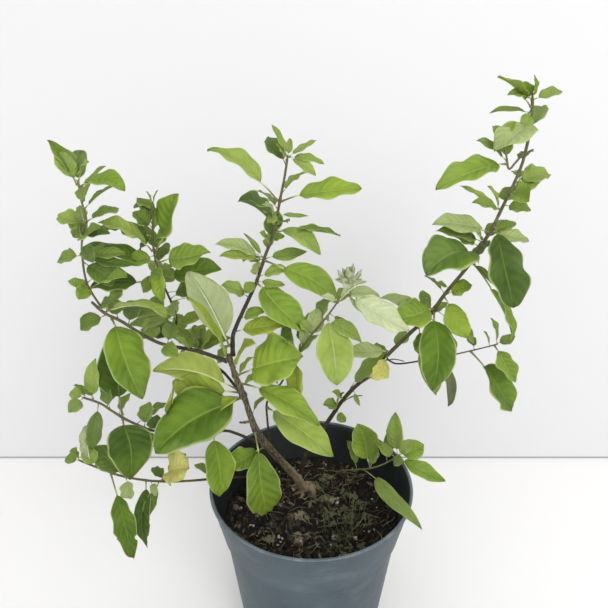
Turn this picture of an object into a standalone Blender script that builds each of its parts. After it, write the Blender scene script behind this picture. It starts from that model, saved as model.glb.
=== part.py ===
"""Basil plant growing in a plain plastic nursery pot.

Frame: metres, +Z up. The origin is the centre of the pot's underside, so the pot
stands on Z = 0. +X is the plant's right and +Y its back, seen from the front.
"""

import math
from dataclasses import dataclass

import bmesh
import bpy
from mathutils import Matrix, Vector

MM = 0.001

# Pot: a thin moulded shell with a deeper, wider band under its rim.
POT_HEIGHT = 0.180
RIM_RADIUS = 0.100
WALL = 0.002
FLOOR = 0.0025
LIP_HEIGHT = 0.0025
LIP_STEP = 0.0012
BAND_DEPTH = 0.048
BAND_FOOT_RADIUS = 0.0892
BAND_STEP = 0.0022
BODY_TAPER = math.radians(6.75)
FOOT_CHAMFER = 0.0015
DRAIN_COUNT = 8
DRAIN_RADIUS = 0.0045
DRAIN_INSET = 0.012
POT_SIDES = 48

# Soil: fills the pot to SOIL_DROP under the rim and is mounded in the middle.
SOIL_DROP = 0.056
SOIL_MOUND = 0.006
SOIL_RELIEF = 0.0018
SOIL_GAP = 0.0003
SOIL_RINGS = 5
ROOTED_DEPTH = 0.014

# Fits between pieces that touch on the real plant.
JOINT_GAP = 0.0003
SOCKET_GAP = 0.0004

# Leaves: the blade is a thin folded sheet on a rounded stalk.
BLADE_THICKNESS = 0.0006
STALK_WIDTH = 0.0017
STALK_THICKNESS = 0.0014
TIP_WIDTH = 0.0012
BLADE_ROWS = 9
STALK_ROWS = 2
BROAD_LEAF = 0.026
STEM_SPACING = 0.011

SOIL_LEVEL = POT_HEIGHT - SOIL_DROP
PLANT_BASE = SOIL_LEVEL + SOIL_MOUND

TONES = {
    "bright": (0.22, 0.36, 0.05),
    "fresh": (0.15, 0.28, 0.05),
    "mid": (0.10, 0.21, 0.04),
    "dark": (0.05, 0.12, 0.02),
    "pale": (0.42, 0.55, 0.22),
    "yellow": (0.60, 0.58, 0.12),
}
BARK = (0.055, 0.047, 0.028)
GREEN_STEM = (0.13, 0.17, 0.05)
POT_BLUE = (0.108, 0.141, 0.165)
SOIL_BROWN = (0.026, 0.021, 0.016)


@dataclass(frozen=True)
class Stem:
    """A stem or branch.

    Its route is in millimetres from the soil's middle, or by_wall: each point is then
    its distance in from the pot's wall, its bearing and its height above the soil. A
    parent of None roots it in the soil; otherwise it leaves its parent at the fraction
    `at` of that one's length.
    """

    name: str
    parent: str | None
    at: float
    thick: tuple
    route: tuple
    colour: tuple = BARK
    by_wall: bool = False


@dataclass(frozen=True)
class Leaf:
    """A leaf on its stalk, in millimetres and degrees.

    heading is 0 to the right and 90 to the back; rise is the slope of the whole leaf;
    roll turns its upper side to the front; bend is how far it arches from stalk to tip.
    """

    name: str
    stem: str
    at: float
    heading: float
    rise: float
    roll: float
    stalk: float
    length: float
    width: float
    bend: float = 30
    fold: float = 16
    tone: str = "fresh"


STEMS = (
    Stem("trunk", None, 0, (11, 5.6), (
        (6, 42, -14), (-4, 39, 0), (-16, 31, 26), (-33, 20, 56), (-48, 11, 85),
        (-55, 4, 105), (-61, -2, 136), (-69, -6, 166), (-74, -10, 190))),
    Stem("centre_stem", "trunk", 0.985, (4.8, 2.2), (
        (-70, -3, 204), (-63, 4, 221), (-56, 9, 235), (-49, 12, 250), (-40, 14, 275),
        (-33, 14, 293), (-27, 12, 321), (-23, 10, 339), (-20, 8, 356))),
    Stem("left_high_branch", "trunk", 0.97, (4.8, 3.0), (
        (-103, -5, 191), (-133, 0, 195), (-150, 0, 204), (-167, -5, 220),
        (-178, -8, 228), (-187, -10, 239))),
    Stem("left_edge_shoot", "left_high_branch", 0.94, (2.4, 1.8), (
        (-186, -14, 255), (-185, -18, 276), (-182, -20, 294), (-175, -22, 311),
        (-176, -24, 327), (-175, -26, 341))),
    Stem("left_cross_branch", "trunk", 0.80, (3.6, 2.4), (
        (-85, 14, 161), (-112, 30, 172), (-130, 38, 182), (-147, 42, 192),
        (-158, 44, 205))),
    Stem("left_rising_shoot", "left_cross_branch", 0.76, (2.8, 1.8), (
        (-128, 30, 206), (-129, 22, 228), (-134, 18, 248), (-137, 16, 266),
        (-137, 14, 287), (-134, 12, 307), (-133, 11, 320))),
    Stem("left_mid_branch", "trunk", 0.52, (3.6, 2.4), (
        (-82, 0, 104), (-106, -6, 104), (-129, -12, 110), (-147, -18, 117),
        (-170, -22, 133), (-187, -24, 149), (-200, -26, 156))),
    Stem("left_low_branch", "trunk", 0.18, (3.4, 2.2), (
        (-46, 27, 26), (-68, 10, 41), (-99, -12, 57), (-122, -22, 63),
        (-147, -30, 70), (-171, -36, 80), (-187, -40, 91), (-204, -44, 104))),
    Stem("inner_shoot", "trunk", 0.50, (2.6, 1.8), (
        (-42, 4, 133), (-30, 0, 153), (-18, -8, 177), (-10, -14, 196),
        (-3, -18, 209), (11, -20, 228), (21, -22, 244), (28, -22, 256)), GREEN_STEM),
    Stem("right_main_stem", None, 0, (6.6, 2.6), (
        (-14, 60, -14), (-12, 56, 0), (-8, 52, 26), (-1, 50, 51), (10, 46, 69),
        (34, 36, 118), (54, 28, 147), (74, 18, 178), (92, 10, 204), (103, 5, 219),
        (115, 0, 243), (130, -4, 268), (138, -6, 285), (145, -8, 302), (151, -8, 319),
        (157, -8, 336), (161, -8, 350), (164, -6, 367), (165, -4, 384), (164, -2, 402))),
    Stem("right_top_fork", "right_main_stem", 0.905, (2.2, 1.6), (
        (149, -14, 348), (143, -20, 359), (136, -24, 372))),
    Stem("right_side_twig", "right_main_stem", 0.45, (2.2, 1.6), (
        (84, 31, 160), (105, 34, 161), (135, 36, 166), (166, 36, 174),
        (183, 36, 179)), GREEN_STEM),
    Stem("low_shoot", None, 0, (2.6, 1.8), (
        (14, 67, -14), (16, 65, 0), (21, 60, 9), (22, 47, 18), (18, 30, 30),
        (11.5, 19, 45), (5, 12.5, 60)), GREEN_STEM, by_wall=True),
)

LEAVES = (
    Leaf("trunk_leaf_1", "trunk", 0.60, -65, -70, 0, 18, 61, 36, 20, 14, "mid"),
    Leaf("trunk_leaf_2", "trunk", 0.49, -140, -3, 30, 9, 31, 24, 35, 16, "fresh"),
    Leaf("trunk_leaf_3", "trunk", 0.79, -150, -20, 30, 10, 78, 50, 35, 14, "mid"),
    Leaf("trunk_leaf_4", "trunk", 0.83, -170, 20, -40, 12, 65, 27, 35, 20, "pale"),
    Leaf("trunk_leaf_5", "trunk", 0.86, -30, -12, 25, 24, 63, 29, 60, 18, "bright"),
    Leaf("trunk_leaf_6", "trunk", 0.90, -20, 25, 45, 19, 50, 38, 30, 16, "bright"),
    Leaf("centre_leaf_1", "centre_stem", 0.80, 180, 36, 35, 20, 50, 24, 45, 20, "fresh"),
    Leaf("centre_leaf_2", "centre_stem", 0.80, -10, 10, 35, 16, 51, 25, 35, 16, "fresh"),
    Leaf("centre_leaf_3", "centre_stem", 0.69, -145, 34, 30, 6, 33, 30, 40, 35, "dark"),
    Leaf("centre_leaf_4", "centre_stem", 0.65, -15, 0, 0, 18, 38, 20, 30, 16, "fresh"),
    Leaf("centre_leaf_5", "centre_stem", 0.50, -25, -22, 35, 20, 56, 27, 35, 16, "bright"),
    Leaf("centre_leaf_6", "centre_stem", 0.38, -35, -32, 25, 6, 56, 30, 25, 14, "bright"),
    Leaf("centre_leaf_7", "centre_stem", 0.05, -140, 66, -50, 10, 72, 36, 20, 18, "pale"),
    Leaf("high_leaf_1", "left_high_branch", 0.83, -46, -56, 0, 7, 67, 44, 25, 12, "fresh"),
    Leaf("high_leaf_2", "left_high_branch", 0.89, -18, 2, -15, 8, 55, 20, 60, 22, "pale"),
    Leaf("edge_leaf_1", "left_edge_shoot", 0.17, -27, 20, 20, 18, 29, 20, 25, 18, "bright"),
    Leaf("edge_leaf_2", "left_edge_shoot", 0.96, -15, -2, 25, 7, 33, 20, 65, 18, "bright"),
    Leaf("edge_leaf_3", "left_edge_shoot", 0.97, 170, 60, 10, 6, 30, 18, 25, 18, "fresh"),
    Leaf("rising_leaf_1", "left_rising_shoot", 0.70, -150, 35, 30, 8, 42, 22, 55, 18, "mid"),
    Leaf("rising_leaf_2", "left_rising_shoot", 0.70, -20, 63, 10, 10, 45, 28, -10, 16, "fresh"),
    Leaf("rising_leaf_3", "left_rising_shoot", 0.61, -12, 15, 45, 13, 39, 26, 30, 16, "bright"),
    Leaf("rising_leaf_4", "left_rising_shoot", 0.59, -170, 20, 20, 8, 54, 24, 45, 18, "mid"),
    Leaf("rising_leaf_5", "left_rising_shoot", 0.50, -10, 13, 45, 13, 44, 26, 25, 16, "dark"),
    Leaf("rising_leaf_6", "left_rising_shoot", 0.48, -160, 3, 35, 20, 38, 26, 25, 16, "dark"),
    Leaf("mid_leaf_1", "left_mid_branch", 0.77, -68, -42, 0, 5, 48, 40, 25, 12, "mid"),
    Leaf("mid_leaf_2", "left_mid_branch", 0.79, 125, 78, 15, 16, 53, 34, -20, 16, "dark"),
    Leaf("mid_leaf_3", "left_mid_branch", 0.28, -75, -62, 0, 6, 53, 29, 25, 16, "fresh"),
    Leaf("low_leaf_1", "left_low_branch", 0.86, -55, -55, 0, 18, 56, 24, 25, 18, "mid"),
    Leaf("low_leaf_2", "left_low_branch", 0.72, -80, -55, 0, 6, 50, 18, 20, 20, "dark"),
    Leaf("low_leaf_3", "left_low_branch", 0.66, -15, 33, 10, 14, 24, 22, 60, 25, "yellow"),
    Leaf("inner_leaf_1", "inner_shoot", 0.22, -30, -22, 25, 7, 71, 32, 35, 14, "fresh"),
    Leaf("inner_leaf_2", "inner_shoot", 0.84, -75, -60, 0, 4, 52, 32, 20, 14, "fresh"),
    Leaf("inner_leaf_3", "inner_shoot", 0.97, -20, -25, 30, 10, 50, 32, 30, 14, "pale"),
    Leaf("right_leaf_1", "right_main_stem", 0.60, -150, -2, 35, 6, 36, 30, 35, 14, "bright"),
    Leaf("right_leaf_2", "right_main_stem", 0.595, -98, -60, 0, 7, 61, 32, 20, 14, "mid"),
    Leaf("right_leaf_3", "right_main_stem", 0.72, -140, -2, 20, 13, 55, 42, 75, 14, "dark"),
    Leaf("right_leaf_4", "right_main_stem", 0.71, -30, -57, 0, 26, 47, 26, 25, 16, "fresh"),
    Leaf("right_leaf_5", "right_main_stem", 0.78, -75, -57, 0, 6, 60, 35, 20, 14, "dark"),
    Leaf("right_leaf_6", "right_main_stem", 0.95, -140, -20, 15, 9, 42, 28, 45, 16, "pale"),
    Leaf("right_leaf_7", "right_main_stem", 0.98, -165, 32, 15, 7, 30, 19, 30, 18, "bright"),
    Leaf("twig_leaf_1", "right_side_twig", 0.78, -28, -50, 10, 18, 52, 34, 25, 14, "dark"),
    Leaf("twig_leaf_2", "right_side_twig", 0.97, -60, -42, 0, 6, 33, 26, 20, 14, "bright"),
    Leaf("fork_leaf_1", "right_top_fork", 0.50, -157, -14, 30, 9, 57, 24, 40, 18, "fresh"),
    Leaf("shoot_leaf_1", "low_shoot", 0.62, 120, 57, 20, 9, 39, 32, -15, 16, "mid"),
    Leaf("shoot_leaf_2", "low_shoot", 0.96, -14, -20, 25, 8, 47, 20, 30, 18, "bright"),
)


def clear_scene():
    """Empty the scene without resetting Blender."""
    for thing in list(bpy.data.objects):
        bpy.data.objects.remove(thing, do_unlink=True)


def new_collection(name):
    """Return a new collection linked to the scene."""
    group = bpy.data.collections.new(name)
    bpy.context.scene.collection.children.link(group)
    return group


def finish(name, colour, roughness):
    """Return a Principled material of one colour."""
    material = bpy.data.materials.new(name)
    material.use_nodes = True
    shader = material.node_tree.nodes["Principled BSDF"]
    shader.inputs["Base Color"].default_value = (*colour, 1.0)
    shader.inputs["Roughness"].default_value = roughness
    shader.inputs["Metallic"].default_value = 0.0
    return material


def add_object(name, data, group, colour, roughness):
    """Put data into the scene as one named object with its own material."""
    thing = bpy.data.objects.new(name, data)
    group.objects.link(thing)
    data.materials.append(finish(name + "_finish", colour, roughness))
    return thing


def mesh_from(bm, name):
    """Turn a bmesh into a mesh and free it."""
    mesh = bpy.data.meshes.new(name)
    bm.to_mesh(mesh)
    bm.free()
    return mesh


def smooth_route(points, spacing):
    """Return points along a Catmull-Rom curve through the given ones."""
    ends = [2 * points[0] - points[1], *points, 2 * points[-1] - points[-2]]
    path = []
    for before, start, stop, after in zip(ends, ends[1:], ends[2:], ends[3:]):
        steps = max(1, round((stop - start).length / spacing))
        for step in range(steps):
            t = step / steps
            path.append(0.5 * (2 * start + (stop - before) * t
                               + (2 * before - 5 * start + 4 * stop - after) * t ** 2
                               + (3 * start - before - 3 * stop + after) * t ** 3))
    return path + [points[-1]]


class Centreline:
    """The smooth middle of a stem, with its radius along the way."""

    def __init__(self, points, radius_start, radius_end):
        self.points = smooth_route(points, STEM_SPACING)
        self.marks = [0.0]
        for a, b in zip(self.points, self.points[1:]):
            self.marks.append(self.marks[-1] + (b - a).length)
        self.radius_start = radius_start
        self.radius_end = radius_end

    def radius(self, fraction):
        """Return the stem's radius at a fraction of its length."""
        return self.radius_start + (self.radius_end - self.radius_start) * fraction

    def locate(self, fraction):
        """Return the point and direction at a fraction of the length."""
        target = fraction * self.marks[-1]
        index = 0
        while index < len(self.marks) - 2 and self.marks[index + 1] < target:
            index += 1
        a, b = self.points[index], self.points[index + 1]
        share = (target - self.marks[index]) / (self.marks[index + 1] - self.marks[index])
        return a.lerp(b, share), (b - a).normalized()

    def leave(self, fraction, direction, radius):
        """Return where something of this radius can start, just clear of the stem."""
        point, along = self.locate(fraction)
        outward = direction - along * direction.dot(along)
        lean = abs(direction.dot(along)) * radius
        reach = self.radius(fraction) + lean + JOINT_GAP
        return point + outward.normalized() * reach


def plant_point(x, y, z):
    """Return a point given in millimetres from the soil's middle."""
    return Vector((x * MM, y * MM, PLANT_BASE + z * MM))


def wall_point(inset, bearing, z):
    """Return a point given by its distance in from the pot's wall and its bearing."""
    height = PLANT_BASE + z * MM
    radius = inside_radius(height) - inset * MM
    angle = math.radians(bearing)
    return Vector((radius * math.cos(angle), radius * math.sin(angle), height))


def build_centrelines():
    """Work out every stem's middle line, parents first."""
    lines = {}
    for stem in STEMS:
        radii = [width * MM / 2 for width in stem.thick]
        place = wall_point if stem.by_wall else plant_point
        route = [place(*point) for point in stem.route]
        if stem.parent:
            parent = lines[stem.parent]
            start = parent.locate(stem.at)[0]
            direction = (route[0] - start).normalized()
            route.insert(0, parent.leave(stem.at, direction, radii[0]))
        lines[stem.name] = Centreline(route, *radii)
    return lines


def tube(name, points, radii):
    """Return a curve that is a round tube with closed ends."""
    curve = bpy.data.curves.new(name, "CURVE")
    curve.dimensions = "3D"
    curve.bevel_depth = 1.0
    curve.bevel_resolution = 2
    curve.use_fill_caps = True
    spline = curve.splines.new("POLY")
    spline.points.add(len(points) - 1)
    for knot, point, radius in zip(spline.points, points, radii):
        knot.co = (*point, 1.0)
        knot.radius = radius
    return curve


def stem_tube(name, line, extra=0.0):
    """Return the tube of one stem, made fatter by extra."""
    count = len(line.points) - 1
    length = line.marks[-1]
    radii = [line.radius(line.marks[i] / length) + extra for i in range(count + 1)]
    return tube(name, line.points, radii)


def build_stems(lines, group):
    """Add every stem and branch."""
    for stem in STEMS:
        data = stem_tube(stem.name, lines[stem.name])
        add_object(stem.name, data, group, stem.colour, 0.75)


def turned(name, profile, steps, group, colour, roughness):
    """Add a turned solid: the profile goes from the top of the axis down its outside."""
    bm = bmesh.new()
    knots = [bm.verts.new((radius, 0.0, height)) for radius, height in profile]
    for a, b in zip(knots, knots[1:]):
        bm.edges.new((a, b))
    thing = add_object(name, mesh_from(bm, name), group, colour, roughness)
    screw = thing.modifiers.new("Turn", "SCREW")
    screw.axis = "Z"
    screw.steps = screw.render_steps = steps
    screw.use_merge_vertices = True
    screw.merge_threshold = 0.00001
    return thing


def body_radius(height):
    """Return the pot body's outer radius at a height under the band."""
    top = POT_HEIGHT - BAND_DEPTH
    return BAND_FOOT_RADIUS - BAND_STEP - (top - height) * math.tan(BODY_TAPER)


def inside_radius(height):
    """Return the pot's inner radius at a height, in the body or in the band."""
    foot = POT_HEIGHT - BAND_DEPTH
    if height < foot:
        return body_radius(height) - WALL
    share = min(1.0, (height - foot) / BAND_DEPTH)
    return BAND_FOOT_RADIUS + (RIM_RADIUS - LIP_STEP - BAND_FOOT_RADIUS) * share - WALL


def pot_profile():
    """Return the closed outline of the pot's wall and floor."""
    foot = POT_HEIGHT - BAND_DEPTH
    lip = POT_HEIGHT - LIP_HEIGHT
    under_lip = RIM_RADIUS - LIP_STEP
    outside = [
        (RIM_RADIUS - WALL * 0.7, POT_HEIGHT), (RIM_RADIUS - WALL * 0.3, POT_HEIGHT),
        (RIM_RADIUS, POT_HEIGHT - WALL * 0.35), (RIM_RADIUS, lip),
        (under_lip, lip - LIP_STEP * 0.5), (BAND_FOOT_RADIUS, foot + BAND_STEP * 0.5),
        (BAND_FOOT_RADIUS - BAND_STEP * 0.3, foot), (body_radius(foot), foot),
        (body_radius(FOOT_CHAMFER), FOOT_CHAMFER),
        (body_radius(0) - FOOT_CHAMFER, 0.0), (0.0, 0.0)]
    return [(0.0, FLOOR), (body_radius(FLOOR) - WALL, FLOOR),
            (body_radius(foot - WALL) - WALL, foot - WALL),
            (BAND_FOOT_RADIUS - WALL, foot + BAND_STEP * 0.5),
            (under_lip - WALL, lip - LIP_STEP * 0.5),
            (under_lip - WALL, POT_HEIGHT - WALL * 0.35)] + outside


def cut(target, cutter):
    """Cut one object out of another with a Boolean."""
    cutter.hide_render = True
    cutter.display_type = "WIRE"
    boolean = target.modifiers.new("Cut " + cutter.name, "BOOLEAN")
    boolean.operation = "DIFFERENCE"
    boolean.object = cutter


def build_pot(group, cutters):
    """Add the pot and the drain holes round the edge of its floor."""
    pot = turned("pot", pot_profile(), POT_SIDES, group, POT_BLUE, 0.45)
    circle = body_radius(0) - DRAIN_INSET
    bm = bmesh.new()
    for number in range(DRAIN_COUNT):
        angle = 2 * math.pi * (number + 0.5) / DRAIN_COUNT
        spot = (circle * math.cos(angle), circle * math.sin(angle), FLOOR / 2)
        bmesh.ops.create_cone(bm, cap_ends=True, segments=16, radius1=DRAIN_RADIUS,
                              radius2=DRAIN_RADIUS, depth=FLOOR * 2,
                              matrix=Matrix.Translation(spot))
    drains = add_object("drain_cutter", mesh_from(bm, "drain_cutter"), cutters,
                        POT_BLUE, 0.5)
    cut(pot, drains)


def soil_relief(x, y):
    """Return the small ups and downs of the soil's surface."""
    bumps = math.sin(70 * x + 1.0) * math.cos(85 * y) + 0.6 * math.sin(150 * y - 90 * x)
    return SOIL_RELIEF * 0.6 * bumps


def inner_radius(height):
    """Return the radius of the soil at a height inside the pot."""
    return body_radius(height) - WALL - SOIL_GAP


def soil_profile():
    """Return the outline of the soil from its mounded top to its flat underside."""
    wall = inner_radius(SOIL_LEVEL)
    top = []
    for ring in range(SOIL_RINGS + 1):
        share = ring / SOIL_RINGS
        top.append((wall * share, SOIL_LEVEL + SOIL_MOUND * math.cos(share * math.pi / 2)))
    base = FLOOR + SOIL_GAP
    return top + [(inner_radius(base), base), (0.0, base)]


def build_soil(lines, group, cutters):
    """Add the soil, with a socket for each stem that is rooted in it."""
    guide = turned("soil_guide", soil_profile(), POT_SIDES, cutters, SOIL_BROWN, 0.95)
    evaluated = guide.evaluated_get(bpy.context.evaluated_depsgraph_get())
    mesh = bpy.data.meshes.new_from_object(evaluated)
    bpy.data.objects.remove(guide, do_unlink=True)
    for vertex in mesh.vertices:
        spot = vertex.co
        if spot.z > SOIL_LEVEL + 0.01 * MM:
            spot.z += soil_relief(spot.x, spot.y) * min(1.0, (spot.z - SOIL_LEVEL) / MM)
    mesh.materials.clear()
    soil = add_object("soil", mesh, group, SOIL_BROWN, 0.95)
    for stem in STEMS:
        if stem.parent is None:
            cut(soil, socket_cutter(stem.name, lines[stem.name], cutters))


def socket_cutter(name, line, cutters):
    """Return a solid a little fatter than the rooted end of a stem."""
    points = [point for point in line.points if point.z < PLANT_BASE + 3 * ROOTED_DEPTH]
    first = points[0] + (points[0] - points[1]).normalized() * SOCKET_GAP
    radii = [line.radius(line.marks[i] / line.marks[-1]) + SOCKET_GAP
             for i in range(len(points))]
    curve = tube(name + "_socket", [first, *points[1:]], radii)
    guide = bpy.data.objects.new(name + "_guide", curve)
    cutters.objects.link(guide)
    evaluated = guide.evaluated_get(bpy.context.evaluated_depsgraph_get())
    bm = bmesh.new()
    bm.from_mesh(evaluated.to_mesh())
    bmesh.ops.remove_doubles(bm, verts=bm.verts, dist=0.001 * MM)
    bpy.data.objects.remove(guide, do_unlink=True)
    return add_object(name + "_socket", mesh_from(bm, name + "_socket"), cutters,
                      SOIL_BROWN, 0.95)


def blade_outline(t):
    """Return the blade's half width, from 0 to 1, at a fraction of its length."""
    return (t ** 0.62) * ((1 - t) ** 0.95) / 0.3486


def leaf_axes(leaf):
    """Return a leaf's forward, sideways and upward directions."""
    heading, rise = math.radians(leaf.heading), math.radians(leaf.rise)
    forward = Vector((math.cos(rise) * math.cos(heading),
                      math.cos(rise) * math.sin(heading), math.sin(rise)))
    side = Vector((-math.sin(heading), math.cos(heading), 0.0))
    turn = math.radians(leaf.roll) * (1 if math.cos(heading) >= 0 else -1)
    side = Matrix.Rotation(turn, 3, forward) @ side
    return forward, side, forward.cross(side)


def arched(leaf, distance):
    """Return how far forward and up the leaf's middle is after a distance along it."""
    whole = (leaf.stalk + leaf.length) * MM
    bend = math.radians(leaf.bend)
    if abs(bend) < 0.01:
        return distance, 0.0
    radius = whole / bend
    start = bend / 2
    now = start - distance / radius
    return radius * (math.sin(start) - math.sin(now)), radius * (math.cos(now) - math.cos(start))


def leaf_rows(leaf):
    """Return each row across the leaf: distance along it, half width and thickness."""
    stalk, length = leaf.stalk * MM, leaf.length * MM
    rows = []
    for row in range(STALK_ROWS):
        rows.append((stalk * row / STALK_ROWS, STALK_WIDTH / 2, STALK_THICKNESS))
    rows.append((stalk, STALK_WIDTH / 2, STALK_THICKNESS * 0.9))
    for row in range(1, BLADE_ROWS + 1):
        t = row / BLADE_ROWS
        half = max(leaf.width * MM / 2 * blade_outline(t), TIP_WIDTH / 2)
        rows.append((stalk + length * t, half, BLADE_THICKNESS))
    return rows


def shape_leaf(bm, leaf, start, columns):
    """Move the points of a flat grid onto the leaf's folded and arched sheet."""
    forward, side, up = leaf_axes(leaf)
    rows = leaf_rows(leaf)
    fold = math.radians(leaf.fold)
    weights = {}
    for vertex in bm.verts:
        row, across = round(vertex.co.x), round(vertex.co.y) / (columns / 2)
        distance, half, thickness = rows[row]
        ahead, height = arched(leaf, distance)
        lift = fold if half > STALK_WIDTH else 0.0
        vertex.co = (start + forward * ahead + side * (across * half * math.cos(lift))
                     + up * (height + abs(across) * half * math.sin(lift)))
        weights[vertex.index] = thickness / STALK_THICKNESS
    return weights


def build_leaf(leaf, lines, group):
    """Add one leaf on its stalk, just clear of its stem."""
    columns = 4 if leaf.width * MM >= BROAD_LEAF else 2
    last_row = STALK_ROWS + BLADE_ROWS
    forward, _, up = leaf_axes(leaf)
    half_bend = math.radians(leaf.bend / 2)
    outset = forward * math.cos(half_bend) + up * math.sin(half_bend)
    start = lines[leaf.stem].leave(leaf.at, outset, STALK_WIDTH * 0.7)
    bm = bmesh.new()
    centre = Matrix.Translation((last_row / 2, 0.0, 0.0))
    stretch = Matrix.Diagonal((last_row / 2, columns / 2, 1.0, 1.0))
    bmesh.ops.create_grid(bm, x_segments=last_row, y_segments=columns, size=1.0,
                          matrix=centre @ stretch)
    bm.verts.index_update()
    weights = shape_leaf(bm, leaf, start, columns)
    thing = add_object(leaf.name, mesh_from(bm, leaf.name), group, TONES[leaf.tone], 0.5)
    body = thing.vertex_groups.new(name="thickness")
    for index, weight in weights.items():
        body.add([index], weight, "REPLACE")
    solidify = thing.modifiers.new("Thickness", "SOLIDIFY")
    solidify.thickness = STALK_THICKNESS
    solidify.offset = 0.0
    solidify.vertex_group = body.name


def main():
    """Build the whole potted plant."""
    clear_scene()
    group = new_collection("potted_basil")
    cutters = new_collection("cutters")
    lines = build_centrelines()
    build_pot(group, cutters)
    build_soil(lines, group, cutters)
    build_stems(lines, group)
    for leaf in LEAVES:
        build_leaf(leaf, lines, group)


if __name__ == "__main__":
    main()
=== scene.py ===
"""Looks of a basil plant in a nursery pot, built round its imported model.

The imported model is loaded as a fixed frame. Every leaf, stem, the soil and the pot are
then made again in fine detail where the frame holds their plain solids, and dressed
with procedural finishes. Lengths are metres and +Z is up.
"""

import logging
import math
import random
from dataclasses import dataclass, field
from enum import Enum
from typing import Callable, Sequence

import bmesh
import bpy
import numpy as np
from mathutils import Matrix, Vector, noise


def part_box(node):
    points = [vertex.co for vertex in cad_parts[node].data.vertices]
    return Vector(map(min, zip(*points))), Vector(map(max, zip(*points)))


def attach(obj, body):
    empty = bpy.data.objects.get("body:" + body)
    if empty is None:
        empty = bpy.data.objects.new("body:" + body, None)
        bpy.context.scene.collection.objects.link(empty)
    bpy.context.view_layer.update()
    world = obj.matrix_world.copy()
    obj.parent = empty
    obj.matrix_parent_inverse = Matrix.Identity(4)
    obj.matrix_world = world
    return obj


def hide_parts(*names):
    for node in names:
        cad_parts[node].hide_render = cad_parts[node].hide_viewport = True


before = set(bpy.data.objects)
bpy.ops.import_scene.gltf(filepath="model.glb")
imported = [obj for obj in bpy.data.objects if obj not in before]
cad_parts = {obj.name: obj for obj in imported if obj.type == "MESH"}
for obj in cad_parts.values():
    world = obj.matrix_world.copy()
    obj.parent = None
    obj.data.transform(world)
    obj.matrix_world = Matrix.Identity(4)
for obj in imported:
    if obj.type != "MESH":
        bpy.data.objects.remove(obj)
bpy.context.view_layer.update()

LOG = logging.getLogger("potted_basil")
BODY = "root"
MM = 0.001
UV_MAP = "leaf"

Colour = tuple[float, float, float]
Socket = bpy.types.NodeSocket
Feed = Socket | float


def srgb(red: int, green: int, blue: int) -> Colour:
    """Return a linear colour from display values of 0 to 255."""
    def linear(value: int) -> float:
        """Return one display value as a linear one."""
        part = value / 255
        return part / 12.92 if part <= 0.04045 else ((part + 0.055) / 1.055) ** 2.4
    return linear(red), linear(green), linear(blue)


# --------------------------------------------------------------------------- nodes


class NodeSheet:
    """A node tree with short ways to add and join its nodes."""

    def __init__(self, tree: bpy.types.NodeTree) -> None:
        """Keep the tree that is written to.

        Args:
            tree: the material's or group's node tree.
        """
        self.tree = tree

    def add(self, kind: str, inputs: dict | None = None,
            **settings: object) -> bpy.types.Node:
        """Add a node.

        Args:
            kind: the node's type.
            inputs: values or sockets by input name or number.
            settings: the node's own properties.

        Returns:
            The new node.
        """
        node = self.tree.nodes.new(kind)
        for name, value in settings.items():
            setattr(node, name, value)
        for key, value in (inputs or {}).items():
            socket = node.inputs[key]
            if isinstance(value, bpy.types.NodeSocket):
                self.tree.links.new(value, socket)
            elif isinstance(value, tuple) and len(value) == 3 and socket.type == "RGBA":
                socket.default_value = (*value, 1.0)
            else:
                socket.default_value = value
        return node

    def math(self, operation: str, *values: Feed, clamp: bool = False) -> Socket:
        """Return the result of a Math node on up to three values or sockets."""
        node = self.add("ShaderNodeMath", dict(enumerate(values)), operation=operation,
                        use_clamp=clamp)
        return node.outputs[0]

    def blend(self, share: Feed, first: Socket | Colour,
              second: Socket | Colour) -> Socket:
        """Return two colours mixed by share."""
        node = self.add("ShaderNodeMix", {0: share, 6: first, 7: second},
                        data_type="RGBA", blend_type="MIX")
        return node.outputs[2]

    def ramp(self, value: Feed, low: float, high: float) -> Socket:
        """Return value spread smoothly from 0 at low to 1 at high."""
        node = self.add("ShaderNodeMapRange", {0: value, 1: low, 2: high},
                        interpolation_type="SMOOTHSTEP")
        return node.outputs[0]

    def noise(self, vector: Socket, scale: Feed, detail: float = 3.0,
              rough: float = 0.5) -> Socket:
        """Return a Noise node's value."""
        node = self.add("ShaderNodeTexNoise", {"Vector": vector, "Scale": scale,
                                               "Detail": detail, "Roughness": rough})
        return node.outputs[0]

    def place(self) -> Socket:
        """Return Object coordinates."""
        return self.add("ShaderNodeTexCoord").outputs["Object"]

    def map(self) -> Socket:
        """Return the piece's own UV map."""
        return self.add("ShaderNodeUVMap", uv_map=UV_MAP).outputs[0]

    def stretch(self, vector: Socket, scale: Colour, **inputs: Colour) -> Socket:
        """Return a vector scaled, and turned when a Rotation is given."""
        return self.add("ShaderNodeMapping", {"Vector": vector, "Scale": scale,
                                              **inputs}).outputs[0]

    def bump(self, strength: float, distance: float, height: Socket) -> Socket:
        """Return the normal of a bumpy surface."""
        return self.add("ShaderNodeBump", {"Strength": strength, "Distance": distance,
                                           "Height": height}).outputs[0]

    def mix(self, share: Feed, first: bpy.types.Node,
            second: bpy.types.Node) -> bpy.types.Node:
        """Return two shaders mixed by share."""
        return self.add("ShaderNodeMixShader", {0: share, 1: first.outputs[0],
                                                2: second.outputs[0]})

    def finish(self, shader: bpy.types.Node, out: bpy.types.Node) -> None:
        """Join the finished shader to the material's output."""
        self.tree.links.new(shader.outputs[0], out.inputs[0])


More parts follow.
